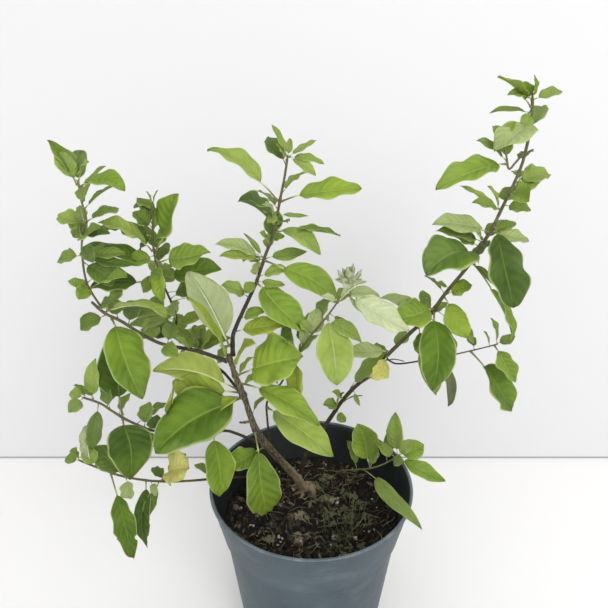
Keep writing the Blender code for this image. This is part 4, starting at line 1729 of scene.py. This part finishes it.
    def _dead_leaves(self) -> bpy.types.Object:
        """Build dry curled leaves that lie on the soil."""
        rng = random.Random(self.seed + 4)
        shell = Shell()
        spots = [(4, -28), (-18, -36), (-38, -22), (28, -44), (-50, 10), (40, 34),
                 (-22, 48), (12, 58), (-6, -6), (-6, 48), (8, 22), (0, -12), (6, 34)]
        for number, (x, y) in enumerate(spots):
            start = Vector((x * MM, y * MM, self.height(x * MM, y * MM) + 1.2 * MM))
            form = LeafForm.grown(start, rng.uniform(0, 360), rng.uniform(0, 14),
                                  rng.uniform(-20, 20), rng.uniform(13, 24) * MM,
                                  rng.uniform(4, 8) * MM, rng.uniform(-80, -20),
                                  rng.uniform(20, 45), 0.1)
            Blade(form, 700 + number, 18, 9, wave=0.3, quilt=0.0006,
                  nibble=0.2).add(shell, 0)
        return shell.piece("dead_leaves", LeafWardrobe.slots(Tone.DRY), "potting_mix")

    def _moss(self) -> bpy.types.Object:
        """Build patches of moss at the foot of the plant."""
        rng = random.Random(self.seed + 5)
        shell = Shell()
        patches = [(30, -22, 16, 150), (42, -2, 12, 90), (18, -38, 10, 60),
                   (-40, 30, 12, 60), (-16, -8, 9, 50), (10, 50, 12, 60)]
        for x, y, size, count in patches:
            for _ in range(count):
                px = (x + rng.gauss(0, size * 0.5)) * MM
                py = (y + rng.gauss(0, size * 0.5)) * MM
                if math.hypot(px, py) > self.edge - 4 * MM:
                    continue
                spot = Vector((px, py, self.height(px, py) + 0.3 * MM))
                turn = Matrix.Rotation(rng.uniform(0, 6.2), 3, "Z")
                half = Vector((rng.uniform(0.6, 1.7), rng.uniform(0.5, 1.2),
                               rng.uniform(0.6, 1.4))) * MM
                shell.lump(spot, half, turn, 1.1, 1, rng.uniform(0, 90))
        return shell.piece("moss", [Earth.MOSS.value.build()], "potting_mix")

    def _seedlings(self) -> bpy.types.Object:
        """Build the small weeds that have sprouted among the moss."""
        rng = random.Random(self.seed + 6)
        shell = Shell()
        for number in range(self.weeds):
            x = (36 + rng.gauss(0, 12)) * MM
            y = (-4 + rng.gauss(0, 24)) * MM
            if math.hypot(x, y) > self.edge - 6 * MM:
                continue
            root = Vector((x, y, self.height(x, y) - 1 * MM))
            tall = rng.uniform(6, 18 if number % 5 else 42) * MM
            lean = Vector((rng.gauss(0, 0.35), rng.gauss(0, 0.35), 0)) * tall
            path = [root + Vector((0, 0, tall)) * (i / 6) + lean * (i / 6) ** 2
                    for i in range(7)]
            shell.tube(path, [0.36 * MM * (1.2 - 0.5 * i / 6) for i in range(7)], 5, 3)
            for side in range(2 + number % 3):
                form = LeafForm.grown(path[-1 - side // 2], rng.uniform(0, 360),
                                      rng.uniform(-10, 30), 0,
                                      rng.uniform(4, 8) * MM, rng.uniform(0.9, 1.9) * MM,
                                      25, 12, 0.2)
                Blade(form, 500 + number * 4 + side, 8, 4, quilt=0.0,
                      stalk_radius=0.0005).add(shell, 0)
        green = LeafWardrobe.slots(Tone.WEED)
        return shell.piece("seedlings", [*green, Bark.SHOOT.value.build()], "leaf_mid")

    def _roots(self) -> bpy.types.Object:
        """Build the roots that stand out of the soil at the foot of the trunk."""
        shell = Shell()
        trunk = StemLine("trunk")
        foot, _ = trunk.locate(0.06)
        ways = [(-26, -12), (14, -24), (24, 8), (-12, 20), (-30, 8)]
        for number, (x, y) in enumerate(ways):
            path, radii = [], []
            for step in range(12):
                share = step / 11
                spot = foot + Vector((x, y, 0)) * MM * share
                sink = 5.5 * MM * (1 - share) ** 2.2 - 2.2 * MM * share
                spot.z = self.height(spot.x, spot.y) + sink
                spot.x += 1.6 * MM * math.sin(share * 5 + number)
                path.append(spot)
                radii.append(4.2 * MM * (1 - share) ** 1.3 + 0.5 * MM)
            shell.tube(path, radii, 10)
        return shell.piece("surface_roots", [Bark.TRUNK.value.build()], "bark")


# ---------------------------------------------------------------------- small leaves

T = Tone
L = Leaflet

STEM_PIECES = (
    StemPiece("trunk", Bark.TRUNK, "bark", 1, sides=28, uneven=0.22, square=0.04,
              knot=0.3, flare=0.5, slim=0.74, leaflets=(
        L(0.99, -140, 65, 72, 12, T.LIME), L(0.93, -50, 50, 50, 15, T.LIME),
        L(0.89, -30, 55, 30, 8, T.FRESH), L(0.70, -30, 55, 26, 6, T.MID),
        L(0.79, 165, -45, 60, 22, T.LIME, roll=75),
        L(0.81, 172, 6, 66, 24, T.LIME, roll=70, stalk=0.2),
        L(0.98, -140, 70, 17, 7, T.FRESH),
        L(0.84, -30, 40, 28, 7, T.FRESH))),
    StemPiece("centre_stem", Bark.BRANCH, "bark", 2, rear=7, leaflets=(
        L(1.0, 180, 65, 27, 6, T.LIGHT), L(1.0, -10, 30, 26, 6.5, T.LIGHT),
        L(0.98, -155, 60, 16, 7, T.LIGHT), L(1.0, -10, -10, 30, 7, T.LIGHT),
        L(1.0, -25, -30, 28, 7.5, T.LIGHT), L(1.0, 65, 70, 15, 5, T.LIGHT),
        L(0.74, -150, 20, 18, 11, T.PALE), L(0.74, -130, -30, 14, 7, T.LIGHT),
        L(0.73, -5, 0, 26, 4, T.FRESH), L(0.67, -25, -25, 48, 12, T.FRESH, bend=60),
        L(0.59, -130, 45, 15, 10, T.FRESH), L(0.61, -30, 20, 13, 7, T.BRIGHT),
        L(0.51, -175, 55, 27, 5, T.FRESH), L(0.51, -165, 20, 43, 11, T.PALE),
        L(0.50, -160, 10, 38, 10, T.LIGHT), L(0.51, 5, 10, 37, 11, T.MID),
        L(0.41, -80, 65, 18, 10, T.FRESH), L(0.39, -130, -30, 16, 8, T.MID),
        L(0.42, -15, 15, 28, 10, T.FRESH), L(0.39, -20, 0, 26, 7, T.FRESH),
        L(0.30, -160, 30, 27, 12, T.FRESH), L(0.19, -25, 25, 28, 10, T.BRIGHT),
        L(0.12, -15, 15, 50, 14, T.LIME), L(0.25, -45, -25, 16, 9, T.MID))),
    StemPiece("left_high_branch", Bark.BRANCH, "bark", 3, rear=5, leaflets=(
        L(0.88, -155, -25, 24, 13, T.DARK), L(0.94, -30, 25, 25, 11, T.DARK),
        L(0.45, -50, 0, 30, 12, T.BRIGHT), L(0.61, -10, 60, 19, 9, T.FRESH),
        L(0.26, -125, 50, 22, 8, T.FRESH))),
    StemPiece("left_edge_shoot", Bark.SHOOT, "green_stem", 4, rear=7, leaflets=(
        L(1.0, -30, 45, 20, 9, T.FRESH), L(0.95, -60, -25, 19, 8, T.MID),
        L(0.98, 175, 60, 26, 11, T.FRESH), L(0.68, -80, 60, 19, 8, T.FRESH),
        L(0.56, -40, 25, 36, 13, T.MID), L(0.56, -65, 45, 23, 12, T.MID),
        L(0.62, -20, 5, 25, 9, T.DARK), L(0.52, -50, -20, 25, 10, T.DARK),
        L(0.39, -15, -35, 31, 15, T.DARK), L(0.45, 10, 0, 34, 9, T.MID),
        L(0.42, 10, -10, 42, 8, T.DARK), L(0.20, -95, -25, 17, 11, T.BRIGHT),
        L(0.22, 10, 30, 33, 11, T.BRIGHT), L(0.14, -145, 40, 20, 10, T.FRESH),
        L(0.70, 165, 10, 26, 12, T.FRESH), L(0.44, 170, -15, 24, 11, T.MID))),
    StemPiece("left_cross_branch", Bark.BRANCH, "bark", 5, rear=8, leaflets=(
        L(0.50, -110, 70, 31, 12, T.MID), L(0.46, -35, 55, 41, 13, T.FRESH),
        L(0.61, -5, 5, 32, 11, T.MID), L(0.69, -145, 55, 29, 13, T.MID),
        L(0.78, -145, 25, 22, 11, T.DARK), L(0.86, -30, 60, 31, 11, T.FRESH),
        L(1.0, -160, 45, 26, 11, T.MID), L(1.0, -55, -45, 24, 12, T.FRESH),
        L(0.57, -15, 20, 47, 11, T.MID), L(0.29, -10, 60, 26, 11, T.FRESH),
        L(0.98, 60, 50, 26, 12, T.MID), L(0.75, 80, 30, 28, 13, T.MID))),
    StemPiece("left_rising_shoot", Bark.BRANCH, "green_stem", 6, rear=8, leaflets=(
        L(0.84, -165, 45, 20, 14, T.DARK), L(0.78, 165, 15, 32, 13, T.DARK),
        L(0.78, 155, -40, 21, 12, T.DARK), L(0.66, -140, -10, 24, 13, T.BRIGHT),
        L(0.61, -70, -35, 44, 13, T.BRIGHT), L(0.56, -30, 20, 18, 7, T.FRESH),
        L(0.51, -70, -30, 25, 10, T.BRIGHT), L(0.40, -10, 5, 31, 10, T.DARK, stalk=0.3),
        L(0.33, -5, 10, 38, 10, T.DARK, stalk=0.4), L(0.35, 10, 30, 37, 13, T.MID),
        L(0.28, -170, 0, 45, 13, T.MID), L(0.18, -160, 0, 43, 12, T.MID),
        L(0.13, -165, -15, 38, 11, T.DARK), L(0.18, -80, 60, 27, 12, T.FRESH),
        L(0.13, -15, 25, 36, 11, T.MID), L(0.08, -25, -30, 28, 13, T.FRESH),
        L(0.99, -130, 70, 11, 4, T.BRIGHT), L(0.99, -25, 60, 13, 3.5, T.BRIGHT),
        L(0.53, -145, -40, 21, 11, T.MID), L(0.45, 90, 30, 24, 12, T.MID))),
    StemPiece("left_mid_branch", Bark.BRANCH, "bark", 7, rear=8, leaflets=(
        L(0.95, 45, 80, 39, 11, T.FRESH), L(0.86, 120, 65, 23, 10, T.DARK),
        L(0.48, -45, 80, 62, 18, T.LIME), L(0.57, -15, 40, 34, 13, T.FRESH),
        L(0.35, -20, 50, 65, 14, T.LIME), L(0.92, -100, -60, 40, 12, T.DARK),
        L(0.62, -55, -25, 19, 8, T.FRESH), L(1.0, -125, -25, 16, 10, T.MID),
        L(0.99, -115, 65, 19, 10, T.MID), L(1.0, 165, 15, 14, 9, T.FRESH))),
    StemPiece("left_low_branch", Bark.BRANCH, "bark", 8, rear=5, leaflets=(
        L(0.81, 170, 40, 41, 18, T.DARK), L(0.95, -65, 80, 47, 10, T.PALE),
        L(0.93, 170, 65, 23, 11, T.FRESH), L(0.80, -60, -50, 19, 13, T.PALE),
        L(0.70, -55, -30, 15, 7, T.PALE), L(0.67, -110, -45, 35, 9, T.DARK),
        L(1.0, -115, 65, 16, 9, T.FRESH), L(1.0, 170, 5, 13, 8, T.MID))),
    StemPiece("inner_shoot", Bark.BRANCH, "green_stem", 9, rear=6, leaflets=(
        L(0.53, 130, 80, 44, 9, T.DARK), L(0.58, -90, -65, 36, 17, T.LIME),
        L(0.60, -145, 50, 22, 8, T.FRESH), L(0.71, 45, 65, 27, 13, T.PALE),
        L(0.63, 50, 70, 34, 9, T.PALE), L(0.74, 180, 45, 16, 8, T.FRESH),
        L(0.83, -25, -25, 36, 11, T.FRESH), L(0.86, 10, -45, 28, 9, T.MID),
        L(0.93, -155, 20, 17, 6, T.WOOLLY), L(0.93, -15, 50, 21, 6, T.WOOLLY),
        L(0.97, -15, -40, 37, 9, T.PALE), L(0.97, 0, -5, 30, 10, T.PALE),
        L(0.38, -150, 55, 21, 9, T.FRESH))),
    StemPiece("right_main_stem", Bark.BRANCH, "bark", 10, sides=20, uneven=0.12,
              slim=0.76, rear=12, leaflets=(
        L(0.58, -170, 25, 49, 11, T.PALE), L(0.46, -140, -40, 27, 15, T.YELLOW, roll=70),
        L(0.34, -20, 55, 59, 14, T.MID), L(0.47, -160, 10, 49, 13, T.PALE),
        L(0.31, -140, 40, 20, 9, T.MID), L(0.29, -150, 15, 19, 11, T.MID),
        L(0.27, -45, -30, 14, 8, T.MID), L(0.28, -50, 65, 25, 8, T.MID),
        L(0.34, -55, -50, 16, 4, T.FRESH), L(0.55, -30, -80, 26, 13, T.MID),
        L(0.57, -65, -70, 68, 14, T.MID), L(0.58, 10, -50, 47, 13, T.MID),
        L(0.58, -135, 75, 20, 9, T.FRESH), L(0.59, -20, 45, 17, 7, T.FRESH),
        L(0.63, -45, -50, 40, 16, T.BRIGHT), L(0.60, -10, -40, 49, 9, T.MID),
        L(0.64, -30, 30, 22, 14, T.BRIGHT), L(0.65, -160, 20, 15, 5, T.MID),
        L(0.71, -35, -40, 23, 5, T.MID), L(0.81, -175, 30, 40, 6, T.FRESH),
        L(0.81, -155, 15, 31, 10, T.MID), L(0.81, -165, 55, 24, 7, T.FRESH),
        L(0.82, -40, -5, 20, 10, T.MID), L(0.83, -10, 10, 14, 4, T.FRESH),
        L(0.77, -170, 10, 50, 16, T.PALE), L(0.77, 175, 10, 29, 9, T.PALE),
        L(0.75, -170, 15, 43, 11, T.MID), L(0.74, 170, 25, 28, 11, T.FRESH),
        L(0.75, -150, 45, 19, 11, T.FRESH), L(0.77, -15, -10, 30, 11, T.PALE),
        L(0.77, 5, 20, 22, 8, T.MID), L(0.84, -80, -5, 25, 14, T.BRIGHT),
        L(0.84, 5, 25, 26, 11, T.FRESH), L(0.97, -165, 0, 36, 5, T.MID),
        L(0.99, -150, 5, 28, 8, T.MID), L(0.99, 180, 85, 17, 7, T.BRIGHT),
        L(0.97, -140, -40, 20, 8, T.FRESH), L(0.99, 0, 15, 22, 9, T.FRESH),
        L(0.99, 140, 55, 16, 7, T.BRIGHT), L(0.86, 20, 10, 34, 14, T.FRESH))),
    StemPiece("right_top_fork", Bark.SHOOT, "green_stem", 11, rear=2, leaflets=(
        L(0.55, -170, 30, 30, 10, T.MID), L(0.97, 10, 50, 14, 6, T.BRIGHT))),
    StemPiece("right_side_twig", Bark.BRANCH, "bark", 12, rear=3, leaflets=(
        L(0.99, -15, 35, 19, 9, T.MID), L(0.45, -55, -70, 34, 10, T.MID),
        L(0.57, -50, -80, 56, 8, T.WEED, bend=50),
        L(0.57, -25, -70, 39, 8, T.DRY, bend=-60),
        L(0.99, -170, 70, 30, 10, T.MID), L(0.93, -155, 60, 21, 6, T.FRESH))),
    StemPiece("low_shoot", Bark.SHOOT, "green_stem", 13, rear=3, leaflets=(
        L(1.0, 115, 80, 48, 14, T.MID), L(1.0, 10, 20, 30, 17, T.BRIGHT),
        L(1.0, 10, 50, 23, 10, T.FRESH), L(0.96, 170, 40, 25, 10, T.MID),
        L(0.91, -45, 20, 16, 10, T.MID),
        L(0.5, -68, 12, 126, 12, T.MID, bend=80, roll=30, droop=0.5, stalk=0.45))),
)

LEAF_CHANGES: dict[str, dict[str, float]] = {
    "trunk_leaf_1": {"nibble": 0.25, "blunt": 0.42},
    "trunk_leaf_2": {"wave": 0.2, "blunt": 0.2},
    "high_leaf_1": {"broad": 0.84},
    "centre_leaf_1": {"broad": 0.86},
    "inner_leaf_3": {"broad": 0.85},
    "right_leaf_3": {"blunt": 0.15, "camber": 0.5},
    "trunk_leaf_3": {"camber": 0.5, "wave": 0.14, "broad": 1.05},
    "trunk_leaf_5": {"wave": 0.2, "broad": 0.85, "camber": 0.6},
    "trunk_leaf_4": {"turn": 35, "broad": 1.4},
    "trunk_leaf_6": {"broad": 1.25, "wave": 0.16},
    "rising_leaf_2": {"turn": 45, "broad": 1.4},
    "twig_leaf_1": {"broad": 1.6},
    "low_leaf_1": {"broad": 0.85, "wave": 0.3, "nibble": 0.25, "turn": 20},
    "low_leaf_2": {"broad": 0.85, "wave": 0.3, "nibble": 0.2},
    "right_leaf_5": {"blunt": 0.25},
    "centre_leaf_7": {"camber": 0.2, "wave": 0.03},
    "low_leaf_3": {"wave": 0.4, "nibble": 0.2, "broad": 1.6, "turn": 30},
}

LEAF_TONES: dict[str, Tone] = {
    "rising_leaf_4": T.MID, "rising_leaf_5": T.MID,
    "centre_leaf_1": T.LIGHT, "centre_leaf_2": T.BRIGHT, "inner_leaf_2": T.LIGHT,
    "inner_leaf_1": T.LIGHT, "rising_leaf_1": T.LIGHT, "trunk_leaf_4": T.LIME,
    "shoot_leaf_1": T.BRIGHT, "right_leaf_3": T.MID, "mid_leaf_1": T.DARK,
    "fork_leaf_1": T.BRIGHT, "twig_leaf_1": T.MID, "inner_leaf_3": T.WOOLLY,
    "trunk_leaf_1": T.FRESH, "high_leaf_2": T.LIGHT,
}


# ------------------------------------------------------------------------ whole plant


@dataclass
class Plant:
    """All the stems and leaves."""

    lines: dict[str, StemLine] = field(default_factory=dict)

    def build(self) -> None:
        """Build every stem and leaf over its node, then the small ones."""
        self.lines = {piece.name: StemLine(piece.name) for piece in STEM_PIECES}
        joints = []
        names = sorted(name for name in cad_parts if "_leaf_" in name)
        for number, name in enumerate(names):
            tone = LEAF_TONES.get(name) or self._tone(name)
            leaf = LeafPiece(name, tone, self._slot(name), 40 + number,
                             LEAF_CHANGES.get(name, {}))
            leaf.build()
            joints.append(LeafForm.read(name).line.points[0])
        joints += [line.points[0] for line in self.lines.values()]
        for piece in STEM_PIECES:
            line = self.lines[piece.name]
            piece.build(line, joints)
            piece.build_leaflets(line)
        Twigs().build(self.lines)

    @staticmethod
    def _slot(name: str) -> str:
        """Return the material slot of a node."""
        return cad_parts[name].data.materials[0].name.split(".")[0]

    @classmethod
    def _tone(cls, name: str) -> Tone:
        """Return a leaf's tone, from its node's material slot."""
        return Tone[cls._slot(name).removeprefix("leaf_").upper()]


# ------------------------------------------------------------------------------ stage


@dataclass
class Studio:
    """The pale floor and wall, the soft light and the camera."""

    eye: Vector = field(default_factory=lambda: Vector((-0.007, -0.393, 0.505)))
    pitch: float = 70.2
    lens: float = 28.42
    wall_at: float = 0.263
    # Height of the painted shade strip at the foot of the wall.
    corner_shade_height: float = 0.004
    floor_size: float = 6.0
    aim: float = 0.25
    sky: float = 0.85

    def build(self) -> None:
        """Set the whole stage."""
        self._floor()
        self._wall()
        self._world()
        self._lamp("key", Vector((0.75, -1.5, 1.25)), 1.2, 16.5)
        self._lamp("fill", Vector((-1.1, -1.3, 0.7)), 1.6, 5.0)
        self._camera()
        view = bpy.context.scene.view_settings
        view.view_transform = "Standard"

    def _plane(self, name: str, matrix: Matrix, size: float,
               material: bpy.types.Material) -> bpy.types.Object:
        """Add a flat sheet of the stage."""
        bm = bmesh.new()
        bmesh.ops.create_grid(bm, x_segments=1, y_segments=1, size=size / 2,
                              matrix=matrix)
        mesh = bpy.data.meshes.new(name)
        bm.to_mesh(mesh)
        bm.free()
        mesh.materials.append(material)
        plane = bpy.data.objects.new(name, mesh)
        bpy.context.scene.collection.objects.link(plane)
        return plane

    def _paint(self, name: str, colour: Colour, other: Colour) -> tuple:
        """Return a matt pale paint: its material, sheet, output and shader."""
        material, sheet, out = new_material(name)
        cloud = sheet.noise(sheet.place(), 2.0, 3.0)
        shader = sheet.add("ShaderNodeBsdfPrincipled", {
            "Base Color": sheet.blend(cloud, colour, other), "Roughness": 0.85,
            "Specular IOR Level": 0.2})
        return material, sheet, out, shader

    def _floor(self) -> None:
        """Add the floor."""
        material, sheet, out, shader = self._paint("floor_paint", (0.955, 0.95, 0.94),
                                                   (0.93, 0.925, 0.915))
        sheet.finish(shader, out)
        self._plane("floor", Matrix.Identity(4), self.floor_size, material)

    def _wall(self) -> None:
        """Add the wall behind, which only shows from the front, with painted shade along
        its foot.
        """
        material, sheet, out, shader = self._paint("wall_paint", (0.74, 0.74, 0.755),
                                                   (0.72, 0.72, 0.735))
        # A dark grey strip along the foot of the wall is painted shade where it meets the
        # floor.
        height = sheet.add("ShaderNodeSeparateXYZ", {0: sheet.place()}).outputs[2]
        foot = sheet.ramp(height, self.corner_shade_height, self.corner_shade_height * 0.4)
        line = sheet.add("ShaderNodeBsdfPrincipled", {
            "Base Color": sheet.blend(sheet.noise(sheet.place(), 6.0),
                                      (0.30, 0.31, 0.33), (0.36, 0.37, 0.39)),
            "Roughness": 0.8})
        shader = sheet.mix(foot, shader, line)
        clear = sheet.add("ShaderNodeBsdfTransparent")
        back = sheet.add("ShaderNodeNewGeometry").outputs["Backfacing"]
        shadow = sheet.add("ShaderNodeLightPath").outputs["Is Shadow Ray"]
        hidden = sheet.math("MAXIMUM", back, shadow)
        sheet.finish(sheet.mix(hidden, shader, clear), out)
        turn = Matrix.Rotation(math.radians(90), 4, "X")
        place = Matrix.Translation((0, self.wall_at, self.floor_size / 2))
        self._plane("wall", place @ turn, self.floor_size, material)

    def _world(self) -> None:
        """Set a pale even light all round."""
        world = bpy.data.worlds.new("studio")
        bpy.context.scene.world = world
        world.use_nodes = True
        shade = world.node_tree.nodes["Background"]
        shade.inputs["Color"].default_value = (1.0, 0.995, 0.985, 1.0)
        shade.inputs["Strength"].default_value = self.sky

    def _lamp(self, name: str, spot: Vector, size: float, power: float) -> None:
        """Add a large soft lamp that faces the plant."""
        data = bpy.data.lights.new(name, "AREA")
        data.shape = "DISK"
        data.size = size
        data.energy = power
        lamp = bpy.data.objects.new(name, data)
        lamp.location = spot
        way = Vector((0, 0, self.aim)) - spot
        lamp.rotation_euler = way.to_track_quat("-Z", "Y").to_euler()
        bpy.context.scene.collection.objects.link(lamp)

    def _camera(self) -> None:
        """Add the camera."""
        data = bpy.data.cameras.new("camera")
        data.lens = self.lens
        data.sensor_width = 36
        camera = bpy.data.objects.new("camera", data)
        camera.location = self.eye
        camera.rotation_euler = (math.radians(self.pitch), 0, 0)
        bpy.context.scene.collection.objects.link(camera)
        bpy.context.scene.camera = camera


def main() -> None:
    """Build the looks and the stage."""
    logging.basicConfig(level=logging.INFO, format="%(name)s %(message)s")
    pot = Pot()
    pot.build()
    Ground(pot).build()
    Plant().build()
    Studio().build()


if __name__ == "__main__":
    main()
